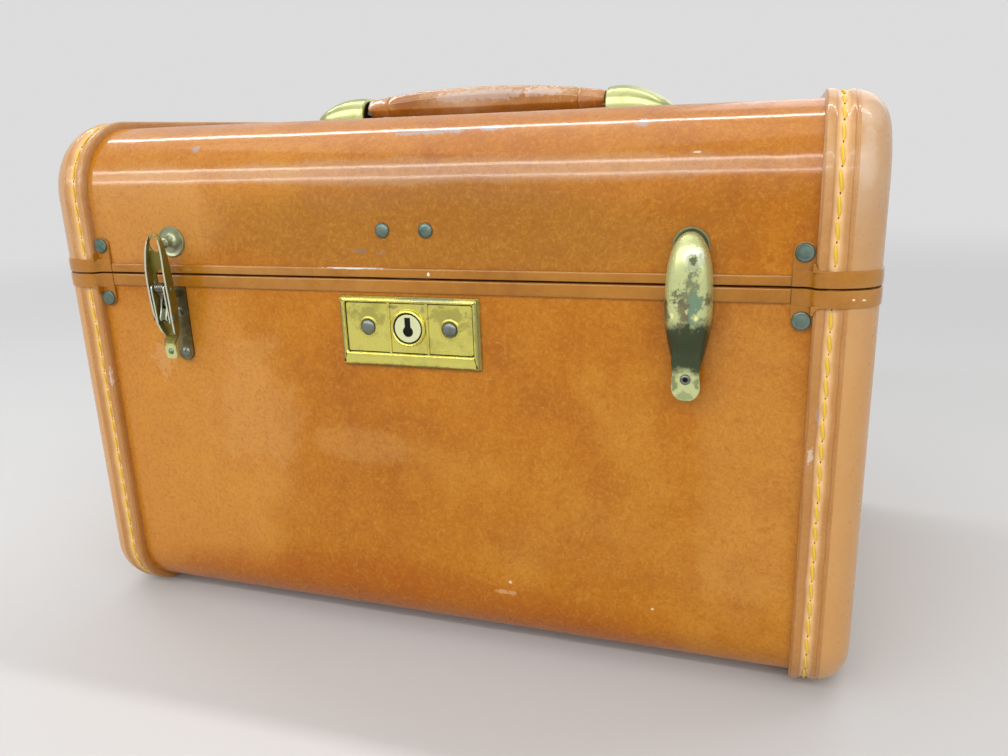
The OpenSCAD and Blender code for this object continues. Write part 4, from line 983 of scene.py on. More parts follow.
class Shape:
    """Collects the vertices and faces of one piece."""

    def __init__(self) -> None:
        """Starts empty."""
        self.verts: list[Point] = []
        self.faces: list[list[int]] = []

    def loft(self, rings: Sequence[Ring], caps: bool = True, loop: bool = False) -> Shape:
        """Joins rings of equal length by quads.

        Args:
            rings: Closed rings of points, in order.
            caps: Whether to close the first and the last ring.
            loop: Whether the last ring joins the first one.

        Returns:
            The shape itself.
        """
        first, size = len(self.verts), len(rings[0])
        for ring in rings:
            self.verts.extend(ring)
        spans = len(rings) if loop else len(rings) - 1
        for r in range(spans):
            a, b = first + r * size, first + (r + 1) % len(rings) * size
            for i in range(size):
                j = (i + 1) % size
                self.faces.append([a + i, a + j, b + j, b + i])
        if caps and not loop:
            self.faces.append([first + i for i in reversed(range(size))])
            self.faces.append([first + (len(rings) - 1) * size + i for i in range(size)])
        return self

    def lathe(self, profile: Sequence[Pair], at: Point, out: Point, sides: int = 32) -> Shape:
        """Turns a profile about an axis and closes its ends.

        Args:
            profile: Radius and height pairs, from one end to the other.
            at: Origin of the axis.
            out: Direction of growing height.
            sides: Number of sides.

        Returns:
            The shape itself.
        """
        turn = Vector(out).to_track_quat("Z", "Y")
        rings = []
        for radius, height in profile:
            ring = []
            for k in range(sides):
                a = 2 * math.pi * k / sides
                p = turn @ Vector((radius * math.cos(a), radius * math.sin(a), height)) + Vector(at)
                ring.append(tuple(p))
            rings.append(ring)
        return self.loft(rings)

    def mirrored(self) -> Shape:
        """Returns the shape mirrored left to right."""
        made = Shape()
        made.verts = [(-x, y, z) for x, y, z in self.verts]
        made.faces = [list(reversed(face)) for face in self.faces]
        return made

    def join(self, other: Shape) -> Shape:
        """Adds another shape to this one."""
        first = len(self.verts)
        self.verts.extend(other.verts)
        self.faces.extend([first + i for i in face] for face in other.faces)
        return self

    def mesh(self, name: str, mid_y: float, sharp: float) -> bpy.types.Mesh:
        """Makes a Blender mesh in metres, smooth up to an angle.

        Args:
            name: The mesh's name.
            mid_y: Where the middle of the case lies, in metres.
            sharp: Angle in degrees above which an edge stays sharp.

        Returns:
            The mesh.
        """
        made = bpy.data.meshes.new(name)
        points = [(x * MM, y * MM + mid_y, z * MM) for x, y, z in self.verts]
        made.from_pydata(points, [], self.faces)
        clean(made, 1e-6)
        made.shade_smooth()
        made.set_sharp_from_angle(angle=math.radians(sharp))
        return made


def clean(mesh: bpy.types.Mesh, distance: float, flat: float = 0.0) -> None:
    """Merges doubles, joins flat triangles if asked, and turns faces outwards.

    Args:
        mesh: The mesh to clean.
        distance: Merge distance in metres.
        flat: Angle in radians below which two triangles become one face, or 0.
    """
    work = bmesh.new()
    work.from_mesh(mesh)
    bmesh.ops.remove_doubles(work, verts=work.verts, dist=distance)
    bmesh.ops.dissolve_degenerate(work, edges=work.edges, dist=distance * 0.2)
    if flat:
        bmesh.ops.join_triangles(work, faces=work.faces, angle_face_threshold=flat, angle_shape_threshold=math.pi)
    bmesh.ops.recalc_face_normals(work, faces=work.faces)
    work.to_mesh(mesh)
    work.free()


@dataclass(frozen=True)
class Sizes:
    """Sizes that several sub-assemblies share."""

    depth: float = 96.0
    width: float = 165.0
    foot: float = 3.1
    body_top: float = 154.85
    lid_bottom: float = 155.55
    lid_top: float = 214.2
    bottom_r: float = 22.0
    top_r: float = 28.0
    wall: float = 3.4
    parting: float = 155.2
    cap_edge: float = 148.0
    bind_x: float = 144.4
    bind_end: float = 155.0
    tab_x: float = 140.9
    tab_w: float = 7.0
    rivet_z: float = 144.35
    lid_rivet_z: float = 166.65


@dataclass(frozen=True)
class Station:
    """A place on the run round a shell: where it is, which way is out, and how far along."""

    y: float
    z: float
    out_y: float
    out_z: float
    along: float

    def point(self, outward: float, x: float) -> Point:
        """Returns the point at a sideways place and a distance outward."""
        return (x, self.y + self.out_y * outward, self.z + self.out_z * outward)


def run(sizes: Sizes, lid: bool, step: float = 2.5, trim: float = 0.0) -> list[Station]:
    """Walks a shell's run from its front rim over the far side to its back rim.

    Args:
        sizes: The shared sizes.
        lid: Whether to walk the lid rather than the body.
        step: Distance between stations.
        trim: Distance left out at both rims.

    Returns:
        The stations in order.
    """
    r = sizes.top_r if lid else sizes.bottom_r
    up = -1.0 if lid else 1.0
    edge = (sizes.lid_bottom if lid else sizes.body_top) - up * trim
    far = sizes.lid_top if lid else sizes.foot
    knee, d = far + up * r, sizes.depth
    made = [(-d, z, -1.0, 0.0) for z in stepped(edge, knee, step)[:-1]]
    turn = arc(max(12, round(r * math.pi / 2 / (step * 0.7))), 0, 90)
    made += [(-d + r - r * math.cos(a), knee - up * r * math.sin(a), -math.cos(a), -up * math.sin(a)) for a in turn]
    half = [(y, far, 0.0, -up) for y in stepped(-d + r, 0.0, step)[1:]]
    made += half
    made += [(-y, z, -ny, nz) for y, z, ny, nz in reversed(made[:-1])]
    out, along, last = [], 0.0, made[0]
    for place in made:
        along += math.hypot(place[0] - last[0], place[1] - last[1])
        out.append(Station(*place, along))
        last = place
    return out


def swept(stations: Sequence[Station], section: Sequence[Pair], rough: Callable[[float, float, float], float] | None = None) -> Shape:
    """Sweeps a closed section of (outward, sideways) along stations.

    Args:
        stations: Where the section stands.
        section: The section's points.
        rough: Gives a change outward for a point's outward, sideways and along place.

    Returns:
        The swept shape with closed ends.
    """
    rings = []
    for s in stations:
        ring = []
        for outward, x in section:
            shift = rough(outward, x, s.along) if rough else 0.0
            ring.append(s.point(outward + shift, x))
        rings.append(ring)
    return Shape().loft(rings)


def grown(outline: Sequence[Pair], by: float) -> list[Pair]:
    """Offsets a counter-clockwise outline outward by a distance."""
    made = []
    for i, (x, z) in enumerate(outline):
        (x0, z0), (x1, z1) = outline[i - 1], outline[(i + 1) % len(outline)]
        n0, n1 = Vector((z - z0, x0 - x)).normalized(), Vector((z1 - z, x - x1)).normalized()
        n = (n0 + n1).normalized()
        share = max(0.5, n.dot(n0))
        made.append((x + n.x * by / share, z + n.y * by / share))
    return made


def drawn_in(outline: Sequence[Pair], by: float) -> list[Pair]:
    """Draws an outline in towards its middle by a distance at its sides."""
    us, vs = [u for u, _ in outline], [v for _, v in outline]
    cu, cv = (min(us) + max(us)) / 2, (min(vs) + max(vs)) / 2
    hu, hv = (max(us) - min(us)) / 2, (max(vs) - min(vs)) / 2
    return [(cu + (u - cu) * (hu - by) / hu, cv + (v - cv) * (hv - by) / hv) for u, v in outline]


def slab(outline: Sequence[Pair], low: float, high: float, soft: float, place: Callable[[float, float, float], Point]) -> Shape:
    """Builds a plate with a rounded front edge.

    Args:
        outline: Counter-clockwise outline.
        low: Distance outward of the plate's back.
        high: Distance outward of its face.
        soft: Radius of the rounded edge.
        place: Turns (u, v, outward) into a point.

    Returns:
        The plate.
    """
    rings = [[place(u, v, low) for u, v in outline]]
    for a in arc(4, 0, 90):
        inset = grown(outline, -soft * (1 - math.cos(a)))
        rings.append([place(u, v, high - soft + soft * math.sin(a)) for u, v in inset])
    return Shape().loft(rings)


# Workshop: makes and dresses pieces


class Workshop:
    """Turns shapes into dressed pieces that ride on their bodies."""

    def __init__(self, frame: dict) -> None:
        """Builds the effects and every material.
        """
        self.nodes: dict[str, bpy.types.Object] = frame["nodes"]
        self.body_of = {n: b for b, names in frame["record"]["behaviour"]["bodies"].items() for n in names}
        self.effects = Effects()
        self.materials = {finish: finish.value.build(self.effects) for finish in Finish}
        low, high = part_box("body_wrap")
        self.mid_y = (low.y + high.y) / 2
        self.sizes = Sizes()

    def dress_nodes(self) -> None:
        """Gives every CAD node its material."""
        for finish, names in CAD_FINISH.items():
            for name in names:
                mesh = self.nodes[name].data
                mesh.materials.clear()
                mesh.materials.append(self.materials[finish])

    def settle(self, obj: bpy.types.Object, body: str, replaces: Sequence[str]) -> bpy.types.Object:
        """Puts a finished object on its body and reports it."""
        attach(obj, body)
        if replaces:
            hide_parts(*replaces)
        LOG.info("%s rides on %s, %d faces", obj.name, body, len(obj.data.polygons))
        return obj

    def piece(
        self,
        name: str,
        shape: Shape,
        finish: Finish,
        body: str,
        slot: str,
        replaces: Sequence[str] = (),
        sharp: float = 38.0,
    ) -> bpy.types.Object:
        """Makes a piece from a shape.

        Args:
            name: The piece's name.
            shape: Its shape.
            finish: Its finish.
            body: The body it rides on.
            slot: The record's material slot; not used.
            replaces: CAD nodes it stands for.
            sharp: Angle in degrees above which an edge stays sharp.

        Returns:
            The piece.
        """
        mesh = shape.mesh(name, self.mid_y, sharp)
        mesh.materials.append(self.materials[finish])
        obj = bpy.data.objects.new(name, mesh)
        bpy.context.scene.collection.objects.link(obj)
        return self.settle(obj, body, replaces)

    def refined(
        self, node: str, finish: Finish, slot: str, edge: float = 0.2, edging: Finish | None = None
    ) -> bpy.types.Object:
        """Copies a CAD node, cleans its mesh and rounds its edges.

        Args:
            node: The node to stand for.
            finish: Its finish.
            slot: The record's material slot; not used.
            edge: Width of the rounded edges in millimetres, or 0 for none.
            edging: Finish of the rounded edges, if it differs.

        Returns:
            The piece.
        """
        mesh = self.nodes[node].data.copy()
        clean(mesh, 2e-6, math.radians(0.6))
        mesh.materials.clear()
        mesh.materials.append(self.materials[finish])
        mesh.shade_smooth()
        mesh.set_sharp_from_angle(angle=math.radians(30))
        obj = bpy.data.objects.new(f"{node}_softened", mesh)
        bpy.context.scene.collection.objects.link(obj)
        if edging:
            mesh.materials.append(self.materials[edging])
            for face in mesh.polygons:
                corners = [mesh.vertices[i].co for i in face.vertices]
                wide = max(c.x for c in corners) - min(c.x for c in corners)
                if face.normal.y < -0.5 and wide < 1.25 * MM and min(c.z for c in corners) > 129 * MM:
                    face.material_index = 1
        if edge:
            bevel = obj.modifiers.new("rounded_edges", "BEVEL")
            bevel.width, bevel.segments = edge * MM, 2
            bevel.limit_method, bevel.angle_limit = "ANGLE", math.radians(34)
            bevel.harden_normals = True
            bevel.material = 1 if edging else -1
        return self.settle(obj, self.body_of[node], [node])

    def repeated(
        self,
        name: str,
        seats: Sequence[tuple[Point, Point, Point]],
        unit: Shape,
        finish: Finish,
        body: str,
        slot: str,
        replaces: Sequence[str] = (),
        spin: float = 0.0,
        vary: float = 0.0,
        seed: int = 1,
    ) -> bpy.types.Object:
        """Repeats a unit shape over seats by Geometry Nodes, as one plain mesh.

        Args:
            name: The piece's name.
            seats: Place, direction along and direction outward of each copy.
            unit: The shape repeated, drawn along X with Z outward.
            finish: Its finish.
            body: The body it rides on.
            slot: The record's material slot; not used.
            replaces: CAD nodes it stands for.
            spin: Largest random turn about the outward direction, in radians.
            vary: Largest random change of size, as a share.
            seed: Seed of the random draws.

        Returns:
            The piece.
        """
        points = bpy.data.meshes.new(f"{name}_seats")
        points.from_pydata([(x * MM, y * MM + self.mid_y, z * MM) for (x, y, z), _, _ in seats], [], [])
        for attribute, which in (("along", 1), ("outward", 2)):
            data = points.attributes.new(attribute, "FLOAT_VECTOR", "POINT")
            for i, seat in enumerate(seats):
                data.data[i].vector = seat[which]
        source = bpy.data.objects.new(f"{name}_unit", unit.mesh(f"{name}_unit", 0.0, 45.0))
        obj = bpy.data.objects.new(name, points)
        for made in (source, obj):
            bpy.context.scene.collection.objects.link(made)
        tree = seat_tree(self.materials[finish])
        modifier = obj.modifiers.new("repeat", "NODES")
        modifier.node_group = tree
        values = {"Unit": source, "Spin": spin, "Vary": vary, "Seed": seed}
        for item in tree.interface.items_tree:
            if item.in_out == "INPUT" and item.name in values:
                modifier[item.identifier] = values[item.name]
        depsgraph = bpy.context.evaluated_depsgraph_get()
        mesh = bpy.data.meshes.new_from_object(obj.evaluated_get(depsgraph))
        obj.modifiers.clear()
        obj.data = mesh
        bpy.data.objects.remove(source)
        return self.settle(obj, body, replaces)


def seat_tree(material: bpy.types.Material) -> bpy.types.NodeTree:
    """Builds the Geometry Nodes tree that sets a unit on every seat.

    Args:
        material: The material of the copies.

    Returns:
        The tree, with the inputs Unit, Spin, Vary and Seed.
    """
    tree = bpy.data.node_groups.new("set_on_seats", "GeometryNodeTree")
    face = tree.interface
    face.new_socket("Seats", in_out="INPUT", socket_type="NodeSocketGeometry")
    face.new_socket("Unit", in_out="INPUT", socket_type="NodeSocketObject")
    for name, kind in (("Spin", "NodeSocketFloat"), ("Vary", "NodeSocketFloat"), ("Seed", "NodeSocketInt")):
        face.new_socket(name, in_out="INPUT", socket_type=kind)
    face.new_socket("Copies", in_out="OUTPUT", socket_type="NodeSocketGeometry")
    t = Tree(tree)
    start = t.add("NodeGroupInput").outputs
    along = t.add("GeometryNodeInputNamedAttribute", {"Name": "along"}, data_type="FLOAT_VECTOR").outputs[0]
    outward = t.add("GeometryNodeInputNamedAttribute", {"Name": "outward"}, data_type="FLOAT_VECTOR").outputs[0]
    first = t.add("FunctionNodeAlignRotationToVector", {"Vector": along}, axis="X")
    second = t.add(
        "FunctionNodeAlignRotationToVector", {"Rotation": first.outputs[0], "Vector": outward}, axis="Z", pivot_axis="X"
    )
    low = t.math("MULTIPLY", start["Spin"], -1.0)
    turn = t.add("FunctionNodeRandomValue", {2: low, 3: start["Spin"], "Seed": start["Seed"]}, data_type="FLOAT")
    spun = t.add("ShaderNodeCombineXYZ", {2: turn.outputs[1]}).outputs[0]
    mixed = t.add("FunctionNodeEulerToRotation", {0: spun}).outputs[0]
    whole = t.add("FunctionNodeRotateRotation", {0: second.outputs[0], 1: mixed}, rotation_space="LOCAL")
    small = t.math("SUBTRACT", 1.0, start["Vary"])
    size = t.add("FunctionNodeRandomValue", {2: small, 3: 1.0, "Seed": t.math("ADD", start["Seed"], 7.0)}, data_type="FLOAT")
    unit = t.add("GeometryNodeObjectInfo", {"Object": start["Unit"]})
    copies = t.add(
        "GeometryNodeInstanceOnPoints",
        {"Points": start["Seats"], "Instance": unit.outputs["Geometry"], "Rotation": whole.outputs[0], "Scale": size.outputs[1]},
    )
    real = t.add("GeometryNodeRealizeInstances", {0: copies.outputs[0]})
    done = t.add("GeometryNodeSetMaterial", {"Geometry": real.outputs[0]})
    done.inputs["Material"].default_value = material
    t.add("NodeGroupOutput", {0: done.outputs[0]})
    return tree


# The shell


@dataclass(frozen=True)
class Shell:
    """Coverings, bindings, thread, rim strips and corner bands of body and lid."""

    shop: Workshop
    seam_pitch: float = 7.5
    seam_x: float = 150.0
    seam_o: float = 1.75
    stitch_len: float = 7.3
    thread_r: float = 0.47
    band_t: float = 0.8
    band_o: float = 3.9
    corner_r: float = 12.8
    corner_x: float = 152.7
    corner_o: float = -9.9
    binding: tuple[Pair, ...] = (
        (-0.05, 144.4),
        (1.2, 144.32),
        (2.35, 144.4),
        (2.8, 144.58),
        (3.0, 144.9),
        (3.1, 145.4),
        (3.1, 146.3),
        (3.02, 147.1),
        (2.8, 147.75),
        (2.45, 148.35),
        (2.1, 148.8),
        (1.86, 149.3),
        (1.76, 149.8),
        (1.76, 150.3),
        (1.88, 150.8),
        (2.1, 151.25),
        (2.38, 151.75),
        (2.6, 152.3),
        (2.72, 152.85),
        (2.72, 153.3),
        (2.6, 153.75),
        (2.42, 154.05),
        (2.3, 154.25),
        (2.3, 154.5),
        (2.24, 154.8),
        (2.15, 155.03),
        (1.2, 155.02),
        (1.1, 148.0),
        (-0.05, 148.0),
    )

    def build(self) -> None:
        """Builds every part of the shell."""
        for lid in (False, True):
            self.wrap(lid)
            self.bindings(lid)
            self.seams(lid)
            self.rims(lid)
            self.bands(lid)
        self.corner_studs()

    def wrap(self, lid: bool) -> None:
        """Makes the covering, slightly uneven as stretched covering is."""
        word = "lid" if lid else "body"
        edge, inner = 147.9, -self.shop.sizes.wall
        across = stepped(-edge, edge, 2.4)
        section = [(0.0, x) for x in across] + [(inner, x) for x in stepped(edge, -edge, 37.0)]
        end = run(self.shop.sizes, lid)[-1].along

        def uneven(outward: float, x: float, along: float) -> float:
            """Gives the covering's rise or dip at a place."""
            if outward < 0 or abs(x) > edge - 4:
                return 0.0
            fade = min(1.0, along / 12, (end - along) / 12)
            broad = waver(x * 0.022, along * 0.022, 3.0 + lid)
            close = waver(x * 0.11, along * 0.11, 9.0 + lid)
            small = waver(x * 0.30, along * 0.42, 13.0 + lid)
            return fade * (0.10 * broad + 0.03 * close + (0.018 if lid else 0.008) * small - 0.075)

        shape = swept(run(self.shop.sizes, lid, 2.2), section, uneven)
        self.shop.piece(f"{word}_covering", shape, Finish.WRAP, word, "leatherette", [f"{word}_wrap"])

    def bindings(self, lid: bool) -> None:
        """Makes the two grooved bindings of one shell."""
        word = "lid" if lid else "body"

        def uneven(outward: float, x: float, along: float) -> float:
            """Gives the binding's small dents."""
            if outward < 1.3 or x > 154.4:
                return 0.0
            return 0.09 * waver(x * 0.35, along * 0.09, 21.0 + lid) - 0.06

        shape = swept(run(self.shop.sizes, lid, 2.2), self.binding, uneven)
        for side, made in (("right", shape), ("left", shape.mirrored())):
            name = f"{side}_{word}_binding"
            self.shop.piece(f"{name}_strip", made, Finish.BINDING, word, "binding", [name])

    def seams(self, lid: bool) -> None:
        """Sews the thread along both bindings, each stitch diving into its holes."""
        word = "lid" if lid else "body"
        stations = run(self.shop.sizes, lid, 0.5, 6.6)
        total = stations[-1].along
        count = round(total / self.seam_pitch)
        stitches, holes = [], []
        for side in (-1.0, 1.0):
            for i in range(count):
                s = min(stations, key=lambda one: abs(one.along - (i + 0.5) * total / count))
                along = (0.0, -s.out_z, s.out_y)
                out = (0.0, s.out_y, s.out_z)
                x = side * self.seam_x + 0.12 * waver(i * 1.7, side, 5.0)
                stitches.append((s.point(self.seam_o + 0.12, x), along, out))
                for end in (-1.0, 1.0) if i == 0 else (1.0,):
                    place = Vector(s.point(self.seam_o, x)) + Vector(along) * end * self.stitch_len / 2
                    if s.out_y * s.out_z:
                        place -= Vector(out) * 0.12
                    holes.append((tuple(place), along, out))
        rings = []
        for i in range(9):
            u = i / 4 - 1
            r = self.thread_r * max(0.12, 1 - abs(u) ** 3) ** 0.6
            sway, drop = 0.22 * math.sin(u * 2.2), 0.62 * abs(u) ** 3
            turn = [2 * math.pi * k / 7 for k in range(7)]
            mid = (u * self.stitch_len / 2, sway, 0.22 - drop)
            rings.append([(mid[0] * MM, (mid[1] + 1.15 * r * math.cos(a)) * MM, (mid[2] + r * math.sin(a)) * MM) for a in turn])
        unit = Shape().loft([[(x / MM, y / MM, z / MM) for x, y, z in ring] for ring in rings])
        self.shop.repeated(
            f"{word}_thread", stitches, unit, Finish.THREAD, word, "thread", [f"{word}_stitches"], 0.06, 0.08, 11 + lid
        )
        # The needle holes are dark dots in the hole finish: painted shade in the holes.
        rim = [(0.0, 0.08), (0.15, 0.11), (0.26, 0.09), (0.36, -0.3)]
        hole = Shape().lathe(list(reversed(rim)), (0, 0, 0), (0, 0, 1), 10)
        hole.verts = [(x * 1.25, y * 0.85, z) for x, y, z in hole.verts]
        self.shop.repeated(f"{word}_needle_holes", holes, hole, Finish.HOLE, word, "binding", (), 0.1, 0.25, 31 + lid)

    def rims(self, lid: bool) -> None:
        """Makes the trim strips along the rims, front and back."""
        word = "lid" if lid else "body"
        low, high = (155.55, 159.15) if lid else (149.85, 154.85)
        edge, mid = 137.2, (low + high) / 2
        profile = [(0.0, low), (0.62, low + 0.02), (1.0, low + 0.16), (1.14, low + 0.45), (1.2, low + 0.9), (1.2, mid)]
        profile += [(o, low + high - z) for o, z in reversed(profile[:-1])]
        rings = []
        for x in stepped(-edge, edge, 2.4):
            taper = min(1.0, max(0.0, (edge - abs(x)) / 0.5)) * 0.25 + 0.75
            shift = 0.05 * waver(x * 0.05, lid, 2.0)
            ring = []
            for o, z in profile:
                rise = 0.03 * waver(x * 0.16, z, 4.0) if o > 0.5 else 0.0
                ring.append((x, -96.0 - (o * taper + rise), z + (shift if o > 0.3 else 0.0)))
            rings.append(ring)
        for place, flip in (("front", 1.0), ("back", -1.0)):
            shape = Shape().loft([[(x, y * flip, z) for x, y, z in ring] for ring in rings])
            name = f"{word}_{place}_rim"
            self.shop.piece(f"{name}_strip", shape, Finish.TRIM, word, "rim_trim", [name])

    def band_plan(self) -> list[tuple[Vector, Vector]]:
        """Returns places and outward directions along the front half of a band, seen from above."""
        d, o = 96.0, self.band_o
        path = [(137.45, 1.05), (139.0, 1.08), (141.0, 1.08), (142.0, 1.2), (142.8, 1.55), (143.5, 2.2), (144.1, 2.95)]
        path += [(144.7, 3.45), (145.5, 3.75), (146.5, 3.88), (147.6, o), (149.0, o), (151.0, 3.82), (152.6, 3.5), (154.2, 3.05), (155.6, 2.62)]
        start = math.degrees(math.asin(4.3 / self.corner_r))
        for a in arc(12, start, 90)[0:]:
            path.append((self.corner_x + self.corner_r * math.sin(a), self.corner_o + self.corner_r * math.cos(a)))
        flat = [(x, -(d + out)) for x, out in path]
        flat += [(165.5, y) for y in stepped(flat[-1][1], 0.0, 4.0)[1:]]
        made = []
        for i, (x, y) in enumerate(flat):
            (x0, y0), (x1, y1) = flat[max(0, i - 1)], flat[min(len(flat) - 1, i + 1)]
            if i == len(flat) - 1:
                x1, y1 = x, y + 1.0
            tangent = Vector((x1 - x0, y1 - y0)).normalized()
            made.append((Vector((x, y)), Vector((tangent.y, -tangent.x))))
        return made

    def bands(self, lid: bool) -> None:
        """Makes the corner bands with their riveted tabs."""
        word = "lid" if lid else "body"
        low, high = (155.55, 160.95) if lid else (149.05, 154.85)
        up = -1.0 if lid else 1.0
        half = self.band_plan()
        plan = half + [(Vector((p.x, -p.y)), Vector((n.x, -n.y))) for p, n in reversed(half[:-1])]
        t = self.band_t
        rings, along = [], 0.0
        for i, (p, n) in enumerate(plan):
            along += (p - plan[i - 1][0]).length if i else 0.0
            wave = 0.10 * waver(along * 0.12, 0.0, 7.0 + lid)
            free, fixed = (low + wave, high) if not lid else (high + wave, low)
            ends = sorted((free, fixed))
            section = [(-t, ends[0]), (-0.22, ends[0]), (-0.06, ends[0] + 0.08), (0.0, ends[0] + 0.3)]
            section += [(0.05, (ends[0] + ends[1]) / 2)]
            section += [(o, ends[0] + ends[1] - z) for o, z in reversed(section[:4])]
            sag = 0.04 * waver(along * 0.07, 1.0, 8.0)
            rings.append([(p.x + n.x * (o + sag), p.y + n.y * (o + sag), z) for o, z in section])
        shape = Shape().loft(rings)
        seam = low if not lid else high
        length = 8.2 if not lid else 9.2
        r, x0 = 3.5, self.shop.sizes.tab_x
        outline = [(x0 - r, seam + up * 1.5), (x0 - r, seam - up * (length - r))]
        outline += [(x0 - r * math.cos(a), seam - up * (length - r + r * math.sin(a))) for a in arc(14, 0, 180)[1:-1]]
        outline += [(x0 + r, seam - up * (length - r)), (x0 + r, seam - up * 2.0), (x0 + r, seam + up * 1.5)]
        if lid:
            outline.reverse()
        for flip in (1.0, -1.0):
            shape.join(slab(outline, -0.02, 1.05, 0.28, lambda u, v, o, f=flip: (u, -f * (96.0 + o), v)))
            shape.join(self.gusset(seam, up, flip))
        for side, made in (("right", shape), ("left", shape.mirrored())):
            name = f"{side}_{word}_band"
            self.shop.piece(f"{name}_strip", made, Finish.TRIM, word, "band", [name])

    def gusset(self, seam: float, up: float, flip: float) -> Shape:
        """Makes the rounded web where a tab turns up into its band."""
        r, x0, o = 2.4, 144.4, self.band_o
        turn = [(x0 + r - r * math.cos(a), seam - up * (r - r * math.sin(a))) for a in arc(8, 0, 90)]
        outline = [(x0 - 0.9, seam + up * 0.6), (x0 - 0.9, seam - up * r), (x0, seam - up * r)]
        outline += turn[1:] + [(x0 + r, seam + up * 0.6)]
        if up < 0:
            outline.reverse()

        def place(u: float, v: float, outward: float) -> Point:
            """Puts a point of the web on the binding's shoulder."""
            return (u, -flip * (96.0 + outward), v)

        return slab(outline, 0.9, o, 0.3, place)

    def corner_studs(self) -> None:
        """Sets the flat-headed rivets of the tabs and of both hinges."""
        head = [(3.1, 0.0), (3.1, 0.42), (3.0, 0.74), (2.76, 0.95), (2.5, 0.98), (2.34, 0.93), (1.8, 1.02), (1.0, 1.12), (0.05, 1.15)]
        unit = Shape().lathe(head, (0, 0, 0), (0, 0, 1), 30)
        s = self.shop.sizes
        for word, z in (("body", s.rivet_z), ("lid", s.lid_rivet_z)):
            seats = []
            for x in (-s.tab_x, s.tab_x):
                for flip in (-1.0, 1.0):
                    seats.append(((x, flip * (s.depth + 1.0), z), (1.0, 0.0, 0.0), (0.0, flip, 0.0)))
            self.shop.repeated(f"{word}_corner_studs", seats, unit, Finish.STEEL, word, "dark_steel", [f"{word}_band_rivets"], 3.0)
        small = [(2.2, 0.0), (2.1, 0.4), (1.7, 0.75), (1.0, 0.96), (0.05, 1.0)]
        unit = Shape().lathe(small, (0, 0, 0), (0, 0, 1), 24)
        for word, z in (("body", s.parting - 14.5), ("lid", s.parting + 14.5)):
            seats = []
            for x in (-92.0, 92.0):
                for step in (-15.0, 0.0, 15.0):
                    seats.append(((x + step, s.depth + 1.2, z), (1.0, 0.0, 0.0), (0.0, 1.0, 0.0)))
            self.shop.repeated(f"{word}_hinge_studs", seats, unit, Finish.STEEL, word, "dark_steel", [f"{word}_hinge_rivets"], 3.0)


# Fittings


def boxed(x0: float, x1: float, z0: float, z1: float, r: float, steps: int = 4) -> list[Pair]:
    """Returns a counter-clockwise rectangle with round corners."""
    made = []
    for cx, cz, start in ((x1 - r, z0 + r, -90), (x1 - r, z1 - r, 0), (x0 + r, z1 - r, 90), (x0 + r, z0 + r, 180)):
        made += [(cx + r * math.cos(a), cz + r * math.sin(a)) for a in arc(steps, start, start + 90)]
    return made


def softened(outline: Sequence[Pair], r: float, steps: int = 3) -> list[Pair]:
    """Returns an outline with each corner replaced by a small curve."""
    made = []
    for i, p in enumerate(outline):
        corner = Vector(p)
        before = corner + (Vector(outline[i - 1]) - corner).normalized() * r
        after = corner + (Vector(outline[(i + 1) % len(outline)]) - corner).normalized() * r
        for k in range(steps + 1):
            t = k / steps
            q = before * (1 - t) ** 2 + corner * 2 * t * (1 - t) + after * t**2
            made.append((q.x, q.y))
    return made


def tube(profile: Sequence[Pair], at: Point, out: Point, sides: int = 48) -> Shape:
    """Turns a closed profile of (radius, height) about an axis into a ring."""
    turn = Vector(out).to_track_quat("Z", "Y")
    rings = []
    for radius, height in profile:
        ring = []
        for k in range(sides):
            a = 2 * math.pi * k / sides
            ring.append(tuple(turn @ Vector((radius * math.cos(a), radius * math.sin(a), height)) + Vector(at)))
        rings.append(ring)
    return Shape().loft(rings, loop=True)


def front(u: float, v: float, outward: float) -> Point:
    """Places a point of a plate on the front panel."""
    return (u, -96.0 - outward, v)


